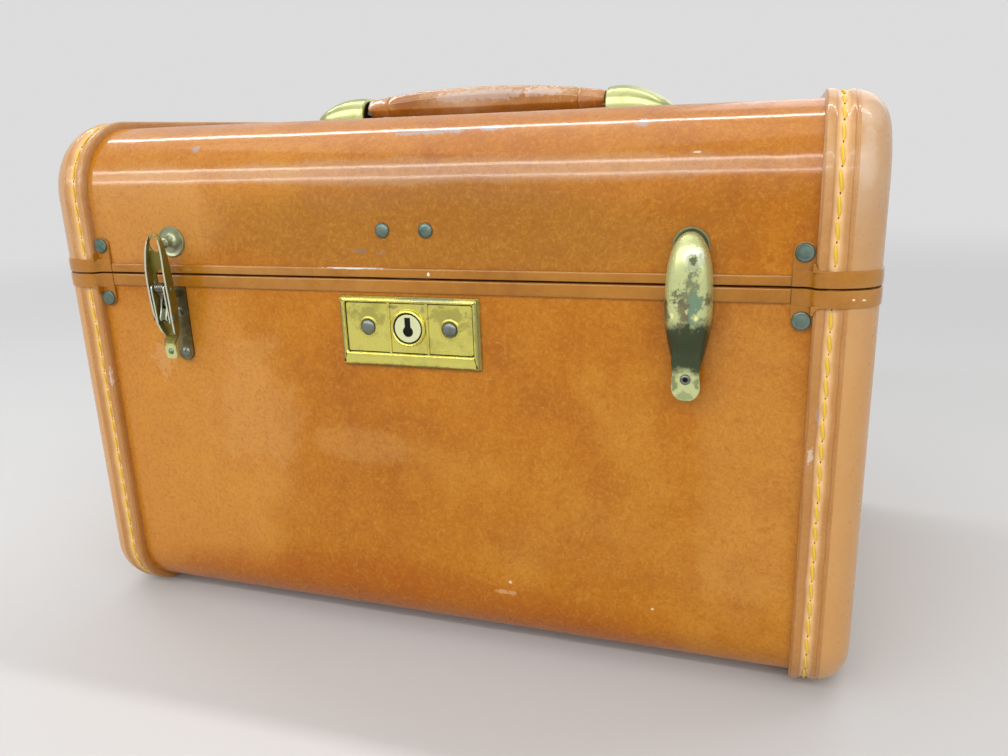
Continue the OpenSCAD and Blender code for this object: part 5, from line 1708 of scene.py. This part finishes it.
@dataclass(frozen=True)
class Lock:
    """Lock plate with its fields, rivets and cylinder, and the parts behind it."""

    shop: Workshop
    half_w: float = 29.0
    low: float = 120.6
    high: float = 148.6
    cyl_z: float = 136.4
    recess: tuple[float, float, float, float] = (-26.5, 26.5, 126.3, 146.1)

    def build(self) -> None:
        """Builds the lock."""
        x0, x1, z0, z1 = self.recess
        outer = boxed(-self.half_w, self.half_w, self.low, self.high, 0.7)
        inner = boxed(x0, x1, z0, z1, 0.8)
        rings = [[front(u, v, o) for u, v in grown(outer, -inset)] for inset, o in (
            (0.0, 0.0), (0.0, 0.6), (0.12, 0.95), (0.45, 1.25), (0.6, 1.55), (0.85, 1.95), (1.25, 2.28), (1.6, 2.4))]
        rings += [[front(u, v, o) for u, v in drawn_in(inner, by)] for by, o in (
            (-0.62, 2.4), (-0.35, 2.3), (-0.12, 2.0), (0.0, 1.5), (0.12, 1.22), (0.5, 1.2), (3.0, 1.26), (7.0, 1.24))]
        plate = Shape().loft(rings)
        for x in (-7.9, 7.9):
            bar = boxed(x - 0.5, x + 0.5, z0 - 0.2, z1 + 0.2, 0.3, 2)
            plate.join(slab(bar, 1.0, 1.9, 0.34, front))
        collar = [(6.0, 0.9), (6.0, 2.1), (6.15, 2.45), (6.5, 2.62), (6.9, 2.5), (7.2, 2.1), (7.35, 1.5), (7.4, 0.9)]
        plate.join(tube(collar, front(0.0, self.cyl_z, 0.0), (0.0, -1.0, 0.0)))
        dish = [(3.05, 1.0), (3.05, 1.4), (3.3, 1.66), (3.7, 1.6), (4.15, 1.3), (4.2, 1.0)]
        for x in (-17.0, 17.0):
            plate.join(tube(dish, front(x, self.cyl_z, 0.0), (0.0, -1.0, 0.0), 36))
        self.shop.piece("lock_plate_moulded", plate, Finish.BRASS, "body", "brass", ["lock_plate"], 42.0)
        # Painted shade: near-black rings in the gap round the cylinder collar and along the recess's inner step.
        gap = [(5.2, 0.6), (5.2, 1.5), (6.05, 1.5), (6.05, 0.6)]
        ring = tube(gap, front(0.0, self.cyl_z, 0.0), (0.0, -1.0, 0.0))
        line = [[front(u, v, o) for u, v in drawn_in(inner, by)] for by, o in ((0.08, 1.0), (0.08, 1.36), (0.36, 1.36), (0.36, 1.0))]
        ring.join(Shape().loft(line, loop=True))
        self.shop.piece("lock_collar_gap", ring, Finish.SHADE, "body", "aged_brass")
        self.shop.refined("lock_cylinder", Finish.CYLINDER, "brass", 0.22)
        # Painted shade: a near-black plate sunk in the keyhole.
        key = [(-1.12, self.cyl_z + 4.1), (-1.12, self.cyl_z + 0.6)]
        key += [(2.02 * math.cos(a), self.cyl_z - 1.2 + 2.02 * math.sin(a)) for a in arc(18, 124, 416)]
        key += [(1.12, self.cyl_z + 0.6), (1.12, self.cyl_z + 4.1)]
        hole = slab(key, 0.8, 1.7, 0.1, front)
        self.shop.piece("keyhole_depth", hole, Finish.SHADE, "cylinder", "brass")
        head = [(2.95, 0.0), (2.95, 0.6), (2.8, 1.05), (2.3, 1.45), (1.5, 1.68), (0.6, 1.78), (0.05, 1.8)]
        unit = Shape().lathe(head, (0, 0, 0), (0, 0, 1), 28)
        seats = [(front(x, self.cyl_z, 0.9), (1.0, 0.0, 0.0), (0.0, -1.0, 0.0)) for x in (-17.0, 17.0)]
        self.shop.repeated("lock_plate_studs", seats, unit, Finish.STUD, "body", "dark_steel", ["lock_plate_rivets"], 3.0)
        flat = [(2.9, 0.0), (2.88, 0.3), (2.7, 0.65), (2.2, 1.0), (1.5, 1.2), (0.7, 1.3), (0.05, 1.32)]
        unit = Shape().lathe(flat, (0, 0, 0), (0, 0, 1), 28)
        seats = [(front(x, 173.2, 0.0), (1.0, 0.0, 0.0), (0.0, -1.0, 0.0)) for x in (-8.8, 8.8)]
        self.shop.repeated("hasp_studs", seats, unit, Finish.STEEL, "lid", "dark_steel", ["hasp_rivets"], 3.0)
        for node in ("lock_case", "lock_hasp"):
            self.shop.refined(node, Finish.PLATED, "plated_steel", 0.2)


@dataclass(frozen=True)
class Latches:
    """Both latches: keepers, the right cover, and softened levers, links and bases."""

    shop: Workshop
    x: float = 105.0
    pin_o: float = 6.2
    pin_z: float = 138.3
    web: float = 2.8
    axis: float = 0.2
    half: float = 7.9
    top: float = 35.1
    mid: float = 9.5
    sheet: float = 0.7
    tail_o: float = 4.1

    def cover_half(self, t: float) -> float:
        """Returns the cover's half width at a distance above its pin."""
        if t > self.mid:
            return self.half * math.sqrt(max(0.0, 1 - ((t - self.mid) / (self.top - self.mid)) ** 3.1))
        return self.half * math.sqrt(1 - ((self.mid - t) / 26) ** 1.5)

    def cover_depth(self, t: float) -> float:
        """Returns how far the cover's crown stands before its axis."""
        depth = self.cover_half(t) * 0.95
        share = min(1.0, max(0.0, (2.0 - t) / 10.5))
        share = share * share * (3 - 2 * share)
        return depth * (1 - share) + (self.tail_o - self.axis) * share

    def at_lever(self, x: float, outward: float, t: float) -> Point:
        """Places a point of the closed cover, outward from the lever's web."""
        return (self.x + x, -96.0 - self.pin_o + self.web - outward, self.pin_z + t)

    def cover(self) -> Shape:
        """Builds the domed cover with its skirt, shoulder and tail."""
        values = stepped(-9.0, 20.0, 1.2) + [21.5, 23.0, 24.6, 26.2, 27.8, 29.2, 30.5, 31.7, 32.7, 33.5, 34.1, 34.55, 34.85, 35.02]
        rings = []
        for t in values:
            ring = []
            for inner in (False, True):
                inset = self.sheet if inner else 0.0
                h = max(self.cover_half(t) - inset, 0.25 * self.cover_half(t))
                d = max(self.cover_depth(t) - inset, 0.25 * self.cover_half(t))
                h, d = max(h, 0.2), max(d, 0.2)
                line = [(h, -1.8), (h, -0.8)]
                for a in arc(18, 0, 180):
                    c, s = math.cos(a), math.sin(a)
                    line.append((math.copysign(abs(c) ** 0.74, c) * h, self.axis + d * abs(s) ** 0.80))
                line += [(-h, -0.8), (-h, -1.8)]
                ring += [self.at_lever(x, o, t) for x, o in (reversed(line) if inner else line)]
            rings.append(ring)
        made = Shape().loft(rings)
        r, low, step = 4.9, -17.3, 5
        waist = [(3.9, -2.5), (4.8, -5.5), (5.0, -8.4), (4.72, -10.4), (4.55, -12.2), (4.65, -13.8), (4.85, -15.4)]
        outline = [(-u, v) for u, v in waist] + [(-r, low)]
        outline += [(r * math.cos(a), low + r * math.sin(a)) for a in arc(18, 180, 360)[1:-1]]
        outline += [(r, low)] + list(reversed(waist))
        rings = [[self.at_lever(u, self.tail_o - self.sheet, v) for u, v in outline]]
        for k in range(step + 4):
            if k <= step:
                a = math.pi / 2 * k / step
                inset, rise = 0.45 * (1 - math.cos(a)), -0.45 + 0.45 * math.sin(a)
            else:
                inset, rise = 0.45 + (k - step) * 0.9, 0.10 * (k - step) ** 0.7
            rings.append([self.at_lever(u, self.tail_o + rise, v) for u, v in grown(outline, -inset)])
        return made.join(Shape().loft(rings))

    def open_spring(self) -> Shape:
        """Builds the open latch's coil spring, wound about its pin, with two legs running down together."""
        path: list[Vector] = []
        cx, cy, cz = -self.x, -106.1, 151.1
        turns, pitch, r, wire = 5, 0.86, 1.75, 0.35
        tilt = math.radians(12)
        foot = Vector((0.0, 0.4, -9.9))
        for k in range(turns * 16 + 1):
            a = 2 * math.pi * k / 16 - math.pi / 2
            path.append(Vector(((k / 16 - turns / 2) * pitch, r * math.cos(a), r * math.sin(a))))
        start = [Vector((path[0].x * (1 - t) - 0.55 * t, path[0].y * (1 - t) + foot.y * t, path[0].z * (1 - t) + foot.z * t)) for t in (1.0, 0.8, 0.6, 0.4, 0.2)]
        end = [Vector((path[-1].x * (1 - t) + 0.55 * t, path[-1].y * (1 - t) + foot.y * t, path[-1].z * (1 - t) + foot.z * t)) for t in (0.2, 0.4, 0.6, 0.8, 1.0)]
        path = start + path + end
        rings = []
        for i, p in enumerate(path):
            along = (path[min(i + 1, len(path) - 1)] - path[max(i - 1, 0)]).normalized()
            turn = along.to_track_quat("Z", "Y")
            ring = []
            for k in range(8):
                b = 2 * math.pi * k / 8
                q = p + turn @ Vector((wire * math.cos(b), wire * math.sin(b), 0.0))
                y, z = q.y * math.cos(tilt) - q.z * math.sin(tilt), q.y * math.sin(tilt) + q.z * math.cos(tilt)
                ring.append((cx + q.x, cy + y, cz + z))
            rings.append(ring)
        return Shape().loft(rings)

    def build(self) -> None:
        """Builds the latches."""
        shop = self.shop
        shop.piece("right_cover_shell", self.cover(), Finish.COVER_BRASS, "right_lever", "brass", ["right_latch_cover"], 50.0)
        eye = [(0.72, 4.0), (0.78, 4.75), (1.1, 5.05), (1.5, 4.95), (1.8, 4.6), (1.85, 4.1)]
        at = (self.x, -96.0 - self.pin_o + self.web, self.pin_z - 14.2)
        shop.piece("right_tail_eyelet", tube(eye, at, (0, -1, 0), 32), Finish.STUD, "right_lever", "dark_steel")
        # Painted shade: a near-black disc in the eyelet's bore.
        bore = Shape().lathe([(0.78, 4.0), (0.78, 4.86), (0.4, 4.9), (0.05, 4.88)], at, (0, -1, 0), 20)
        shop.piece("right_tail_bore", bore, Finish.SHADE, "right_lever", "dark_steel")
        keeper = [(6.2, 0.0), (6.26, 0.35), (6.2, 0.75), (6.0, 0.98), (5.75, 0.98), (5.5, 0.74), (4.2, 0.62), (3.0, 0.70)]
        keeper += [(2.5, 1.0), (2.0, 1.5), (1.62, 2.1), (1.5, 3.2), (1.55, 4.0), (2.0, 4.35), (2.25, 4.75), (2.2, 5.15)]
        keeper += [(1.85, 5.45), (1.0, 5.66), (0.05, 5.7)]
        unit = Shape().lathe(keeper, (0, 0, 0), (0, 0, 1), 44)
        seats = [(front(x, 168.5, 0.0), (1.0, 0.0, 0.0), (0.0, -1.0, 0.0)) for x in (-self.x, self.x)]
        shop.repeated("keeper_studs", seats, unit, Finish.KEEPER, "lid", "aged_brass", ["keepers"], 3.0)
        for side in ("left", "right"):
            shop.refined(f"{side}_latch_lever", Finish.LEVER, "aged_brass", 0.2, edging=Finish.BRIGHT_EDGE)
            shop.refined(f"{side}_latch_base", Finish.BASE, "aged_brass", 0.15)
            shop.refined(f"{side}_latch_link", Finish.LINK, "dark_steel", 0.16, edging=Finish.BRIGHT_EDGE)
        shop.refined("right_latch_spring", Finish.WIRE, "spring_wire", 0.0)
        shop.piece("left_spring_coil", self.open_spring(), Finish.WIRE, shop.body_of["left_latch_spring"], "spring_wire", ["left_latch_spring"], 60.0)


@dataclass(frozen=True)
class Handle:
    """Arched grip, its ferrules, strap and the two brass caps."""

    shop: Workshop
    half: float = 45.3
    low: float = 215.5
    crown: float = 227.2
    rise: float = 2.5
    width: float = 20.0
    bevel: float = 3.2
    ferrule: float = 11.5
    cap_start: float = 57.6
    cap_width: float = 11.5
    seat: float = 214.2
    cap_line: tuple[Pair, ...] = (
        (57.6, 10.2),
        (61.0, 10.6),
        (64.5, 10.6),
        (68.0, 10.25),
        (71.0, 9.5),
        (74.0, 8.5),
        (77.0, 7.15),
        (79.5, 5.8),
        (82.0, 4.25),
        (84.0, 2.75),
        (85.2, 1.5),
        (85.6, 0.7),
    )

    def build(self) -> None:
        """Builds the handle."""
        shop = self.shop
        shop.piece("grip_moulding", self.grip(), Finish.GRIP, "handle", "grip", ["handle_grip"], 16.0)
        right = self.ferrule_shape()
        both = right.mirrored().join(right)
        shop.piece("grip_ferrules", both, Finish.FERRULE, "handle", "grip", ["handle_ferrules"], 22.0)
        cap = self.cap()
        for side, made in (("right", cap), ("left", cap.mirrored())):
            shop.piece(f"{side}_cap_shell", made, Finish.CAP_BRASS, "lid", "brass", [f"{side}_handle_cap"], 32.0)
        # Painted shade: near-black plugs in the mouths of the two caps.
        mouth = [(y * 0.86, self.seat + 0.3 + (z - self.seat) * 0.86) for y, z in self.cap_section(self.cap_start + 1)]
        rings = [[(x, y, z) for y, z in mouth] for x in (57.38, 57.5, 58.4)]
        rings[0] = [(x, y * 0.96, self.seat + 0.3 + (z - self.seat) * 0.96) for x, y, z in rings[0]]
        dark = Shape().loft(rings)
        shop.piece("cap_mouths", dark.mirrored().join(dark), Finish.SHADE, "lid", "brass")
        shop.refined("handle_strap", Finish.PLATED, "plated_steel", 0.2)

    def grip(self) -> Shape:
        """Builds the faceted grip, arched along its top."""
        rings = []
        for x in stepped(-self.half, self.half, 2.0):
            top = self.crown - self.rise * (x / self.half) ** 2
            end = max(0.0, 1 - (self.half - abs(x)) / 0.8) * 0.35
            w, c, low = self.width / 2 - end, self.bevel, self.low + end
            top -= end
            corners = [(w - c, low), (w, low + c), (w, top - c), (w - c, top), (c - w, top), (-w, top - c), (-w, low + c), (c - w, low)]
            wear = 0.07 * waver(x * 0.12, 0.0, 40.0)
            rings.append([(x, y, z + wear) for y, z in softened(corners, 0.55)])
        return Shape().loft(rings)

    def ferrule_shape(self) -> Shape:
        """Builds the right ferrule: a lip, a step and a taper."""
        rings = []
        z_top = self.crown - self.rise - 0.05
        for x, grow in ((0.0, -0.2), (0.25, 0.12), (1.2, 0.16), (1.6, -0.15), (2.1, -0.25), (5.0, -0.35), (8.5, -0.5), (10.9, -0.75), (11.3, -1.0), (11.5, -1.5)):
            share = x / self.ferrule
            w = 9.5 - 1.3 * share + grow
            top, low, c = z_top - 0.9 * share + grow * 0.8, self.low + 0.3 - grow * 0.4, 2.8
            corners = [(w - c, low), (w, low + c), (w, top - c), (w - c, top), (c - w, top), (-w, top - c), (-w, low + c), (c - w, low)]
            rings.append([(self.half + x, y, z) for y, z in softened(corners, 0.6)])
        return Shape().loft(rings)

    def cap_height(self, x: float) -> float:
        """Returns the cap's height at a place along the handle."""
        line = self.cap_line
        for (x0, h0), (x1, h1) in zip(line, line[1:]):
            if x <= x1:
                return h0 + (h1 - h0) * max(0.0, x - x0) / (x1 - x0)
        return line[-1][1]

    def cap_section(self, x: float) -> list[Pair]:
        """Returns the cap's arched section at a place along the handle."""
        past = max(0.0, x - 74.6)
        w = math.sqrt(max(0.2, self.cap_width**2 - past**2 * 1.05))
        h = self.cap_height(x)
        made = []
        for a in arc(28, 0, 180):
            c, s = math.cos(a), math.sin(a)
            made.append((w * math.copysign(abs(c) ** 0.70, c), self.seat + h * abs(s) ** 0.70))
        return made

    def cap(self) -> Shape:
        """Builds the right half-bullet cap."""
        rings = []
        for x, share in ((57.6, 0.93), (57.7, 0.965), (57.95, 0.99), (58.3, 1.0)):
            rings.append([(x, y * share, self.seat + (z - self.seat) * share) for y, z in self.cap_section(x)])
        for x in stepped(59.2, 84.4, 1.1) + [85.0, 85.35, 85.55]:
            rings.append([(x, y, z) for y, z in self.cap_section(x)])
        return Shape().loft(rings)


@dataclass(frozen=True)
class Inside:
    """Lining, pockets, mirror and frame, and the hinges that show with the lid open."""

    shop: Workshop
    thick: float = 1.6
    corner_o: float = -9.9
    corner_x: float = 155.5
    corner_r: float = 6.4
    side_x: float = 161.9
    gather: float = 1.25

    def build(self) -> None:
        """Builds the inside."""
        for lid in (False, True):
            self.lining(lid)
        self.pockets()
        shop = self.shop
        shop.refined("mirror_frame", Finish.POCKET, "pocket_cloth", 0.5)
        shop.refined("lid_mirror", Finish.MIRROR, "mirror", 0.4)
        shop.refined("body_frame", Finish.WOOD, "frame_wood", 0.25)
        for node in ("body_hinge_leaves", "lid_hinge_leaves"):
            shop.refined(node, Finish.OLD_BRASS, "aged_brass", 0.2)

    def lining(self, lid: bool) -> None:
        """Makes one shell's quilt-soft lining: the run round it and its two ends."""
        word = "lid" if lid else "body"
        turn = arc(6, 0, 90)
        o, x, r, t = self.corner_o, self.corner_x, self.corner_r, self.thick
        out = [(o + r * math.cos(a), x + r * math.sin(a)) for a in turn]
        back = [(o + (r - t) * math.cos(a), x + (r - t) * math.sin(a)) for a in reversed(turn)]
        inner = [(o + r - t, v) for v in stepped(x - 4, 4 - x, 6.0)]
        section = [(p, -q) for p, q in reversed(out)] + out + back + inner + [(p, -q) for p, q in reversed(back)]
        stations = run(self.shop.sizes, lid, 5.0, 7.2 if lid else 15.0)

        def soft(outward: float, across: float, along: float) -> float:
            """Gives the wadding's swell."""
            if abs(outward - (o + r - t)) > 0.01 or abs(across) > x - 5:
                return 0.0
            return -0.5 - 0.45 * waver(across * 0.03, along * 0.03, 50.0 + lid)

        made = swept(stations, section, soft)
        self.declare(f"{word}_lining_run", made, word, [f"{word}_lining"])
        s = self.shop.sizes
        radius = (s.top_r if lid else s.bottom_r) + o
        y = s.depth + o
        z0, z1 = (162.4, s.lid_top + o) if lid else (s.foot - o, 140.0)
        low_r, high_r = (0.4, radius) if lid else (radius, 0.4)
        outline = []
        for cy, cz, rr, start in ((y, z0, low_r, -90), (y, z1, high_r, 0), (-y, z1, high_r, 90), (-y, z0, low_r, 180)):
            my, mz = cy - math.copysign(rr, cy), cz + (rr if cz == z0 else -rr)
            outline += [(my + rr * math.cos(a), mz + rr * math.sin(a)) for a in arc(8, start, start + 90)]
        ends = Shape()
        for side in (-1.0, 1.0):
            rings = []
            for inset, deep in ((0.0, 0.0), (0.0, 0.9), (0.5, 1.4), (3.0, 1.75), (9.0, 2.1), (16.0, 2.25)):
                rings.append([(side * (self.side_x - deep), u, v) for u, v in drawn_in(outline, inset)])
            ends.join(Shape().loft(rings))
        self.declare(f"{word}_lining_ends", ends, word, ())

    def declare(self, name: str, shape: Shape, body: str, replaces: Sequence[str]) -> None:
        """Makes a lining piece with the lining finish, soft only in its shape."""
        made = self.shop.piece(name, shape, Finish.LINING, body, "lining", replaces, 60.0)

    def pockets(self) -> None:
        """Makes the three elastic pockets of gathered cloth."""
        walls = {
            "back_pocket": (220.0, lambda u, v, o: (u, 91.0 - o, v)),
            "left_pocket": (120.0, lambda u, v, o: (-160.0 + o, u, v)),
            "right_pocket": (120.0, lambda u, v, o: (160.0 - o, -u, v)),
        }
        for i, (name, (wide, place)) in enumerate(walls.items()):
            shape = self.pocket(wide, place, float(i))
            replaced = ["body_pockets"] if i == 0 else []
            made = self.shop.piece(name, shape, Finish.POCKET, "body", "pocket_cloth", replaced, 70.0)
            solid = made.modifiers.new("cloth_thickness", "SOLIDIFY")
            solid.thickness, solid.offset = 0.7 * MM, 0.0

    @staticmethod
    def pocket(wide: float, place: Callable[[float, float, float], Point], seed: float) -> Shape:
        """Builds one gathered sheet: pinched at its elastic top, fuller below."""
        made = Shape()
        columns, rows = stepped(-wide / 2, wide / 2, 1.6), stepped(32.0, 94.0, 3.1)
        for z in rows:
            up = (z - 32.0) / 62.0
            for x in columns:
                phase = 2 * math.pi * (x / 11.0 + 0.25 * waver(x * 0.02, z * 0.012, seed))
                fold = 0.5 + 0.5 * math.cos(phase)
                belly = 0.8 + 1.6 * math.sin(math.pi * min(1.0, up * 1.05)) ** 0.7
                hem = 0.5 if up > 0.93 else 1.0
                made.verts.append(place(x, z, 0.5 + fold * 1.7 * hem * (0.55 + 0.45 * up) + belly * 0.5))
        count = len(columns)
        for r in range(len(rows) - 1):
            for c in range(count - 1):
                a = r * count + c
                made.faces.append([a, a + 1, a + count + 1, a + count])
        return made


# Stage


@dataclass(frozen=True)
class Camera:
    """The photograph's camera, placed from the middle of the case."""

    place: Point = (0.13762, -0.3842, 0.20603)
    yaw: float = 19.186
    pitch: float = 16.001
    roll: float = -2.036
    lens: float = 30.29
    sensor: float = 36.0

    def build(self, mid_y: float) -> None:
        """Makes the camera.

        Args:
            mid_y: Where the middle of the case lies, in metres.
        """
        data = bpy.data.cameras.new("photo_camera")
        data.lens, data.sensor_width = self.lens, self.sensor
        made = bpy.data.objects.new("photo_camera", data)
        bpy.context.scene.collection.objects.link(made)
        made.rotation_mode = "QUATERNION"
        turn = Matrix.Rotation(math.radians(self.yaw), 4, "Z") @ Matrix.Rotation(math.radians(90 - self.pitch), 4, "X")
        turn = turn @ Matrix.Rotation(math.radians(self.roll), 4, "Z")
        made.rotation_quaternion = turn.to_quaternion()
        x, y, z = self.place
        made.location = (x, y + mid_y, z)
        bpy.context.scene.camera = made


@dataclass(frozen=True)
class Lamp:
    """A soft rectangular lamp."""

    name: str
    place: Point
    aim: Point
    size: Pair
    power: float
    tint: Colour = (1.0, 1.0, 1.0)

    def build(self) -> None:
        """Makes the lamp."""
        data = bpy.data.lights.new(self.name, "AREA")
        data.shape, data.size, data.size_y = "RECTANGLE", self.size[0], self.size[1]
        data.energy, data.color = self.power, self.tint
        made = bpy.data.objects.new(self.name, data)
        bpy.context.scene.collection.objects.link(made)
        made.location = self.place
        made.rotation_mode = "QUATERNION"
        made.rotation_quaternion = (Vector(self.aim) - Vector(self.place)).to_track_quat("-Z", "X")


@dataclass(frozen=True)
class Studio:
    """Floor, world light and lamps."""

    floor: Colour = (0.60, 0.60, 0.60)
    world: float = 0.42
    backdrop: float = 0.72
    fade: Pair = (0.35, 1.7)
    lamps: tuple[Lamp, ...] = (
        Lamp("soft_key", (-0.45, -1.15, 0.80), (-0.45, 0.0, 0.12), (0.50, 2.2), 5.6),
        Lamp("soft_top", (-0.4, -0.3, 1.7), (0.0, 0.0, 0.12), (1.2, 1.2), 4.2),
        Lamp("soft_right", (1.3, -0.9, 0.8), (0.0, 0.0, 0.12), (1.0, 1.0), 3.4),
        Lamp("soft_back", (0.4, 1.6, 1.2), (0.0, 0.0, 0.12), (1.4, 1.0), 4.0),
        Lamp("top_tube", (-0.3, 0.26, 1.2), (-0.3, 0.0, 0.2), (0.05, 2.4), 9.0),
        Lamp("front_tube_high", (-0.3, -0.8, 0.81), (-0.3, -0.09, 0.2), (0.05, 2.8), 4.8),
        Lamp("front_tube_low", (-0.3, -1.4, 0.76), (-0.3, -0.09, 0.2), (0.055, 3.2), 5.3),
    )

    @staticmethod
    def seen(t: Tree) -> Socket:
        """Returns 1 for rays that show the background: camera, glossy and transmission rays."""
        rays = t.add("ShaderNodeLightPath").outputs
        return t.math("MAXIMUM", t.math("MAXIMUM", rays["Is Camera Ray"], rays["Is Glossy Ray"]), rays["Is Transmission Ray"])

    def build(self) -> None:
        """Makes the floor, the world and the lamps."""
        bpy.ops.mesh.primitive_plane_add(size=14.0, location=(0.0, 0.0, 0.0))
        floor = bpy.context.active_object
        floor.name = "studio_floor"
        mat, t, shader = new_material("floor_paper")
        t.feed(shader.inputs["Base Color"], t.mix(t.noise(t.place(), 6.0), self.floor, tuple(c * 0.97 for c in self.floor)))
        shader.inputs["Roughness"].default_value = 0.85
        shader.inputs["Specular IOR Level"].default_value = 0.2
        shown = self.seen(t)
        far = t.ramp(t.vector("LENGTH", t.place()).outputs["Value"], self.fade[0], self.fade[1])
        glow = t.add("ShaderNodeEmission", {"Color": (1.0, 1.0, 1.0), "Strength": self.backdrop})
        both = t.add("ShaderNodeMixShader", {0: t.math("MULTIPLY", far, shown), 1: shader.outputs[0], 2: glow.outputs[0]})
        t.feed(mat.node_tree.nodes["Material Output"].inputs["Surface"], both.outputs[0])
        floor.data.materials.append(mat)
        floor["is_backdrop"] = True
        world = bpy.data.worlds.new("studio")
        bpy.context.scene.world = world
        world.use_nodes = True
        wt = Tree(world.node_tree)
        back = world.node_tree.nodes["Background"]
        wt.feed(back.inputs["Color"], (1.0, 1.0, 1.0))
        wt.feed(back.inputs["Strength"], wt.math("MAXIMUM", self.world, wt.math("MULTIPLY", self.seen(wt), self.backdrop)))
        for lamp in self.lamps:
            lamp.build()
        bpy.context.scene.view_settings.view_transform = "Standard"


def main() -> tuple[Vector, Vector]:
    """Builds the stage, dresses the frame and adds the made pieces.

    Returns:
        The CAD model's box.
    """
    logging.basicConfig(level=logging.INFO, format="%(message)s")
    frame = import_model()
    cad_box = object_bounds()
    shop = Workshop(frame)
    Camera().build(shop.mid_y)
    Studio().build()
    shop.dress_nodes()
    for assembly in ASSEMBLIES:
        assembly(shop).build()
    return cad_box


ASSEMBLIES = (Shell, Lock, Latches, Handle, Inside)


if __name__ == "__main__":
    CAD_BOX = main()
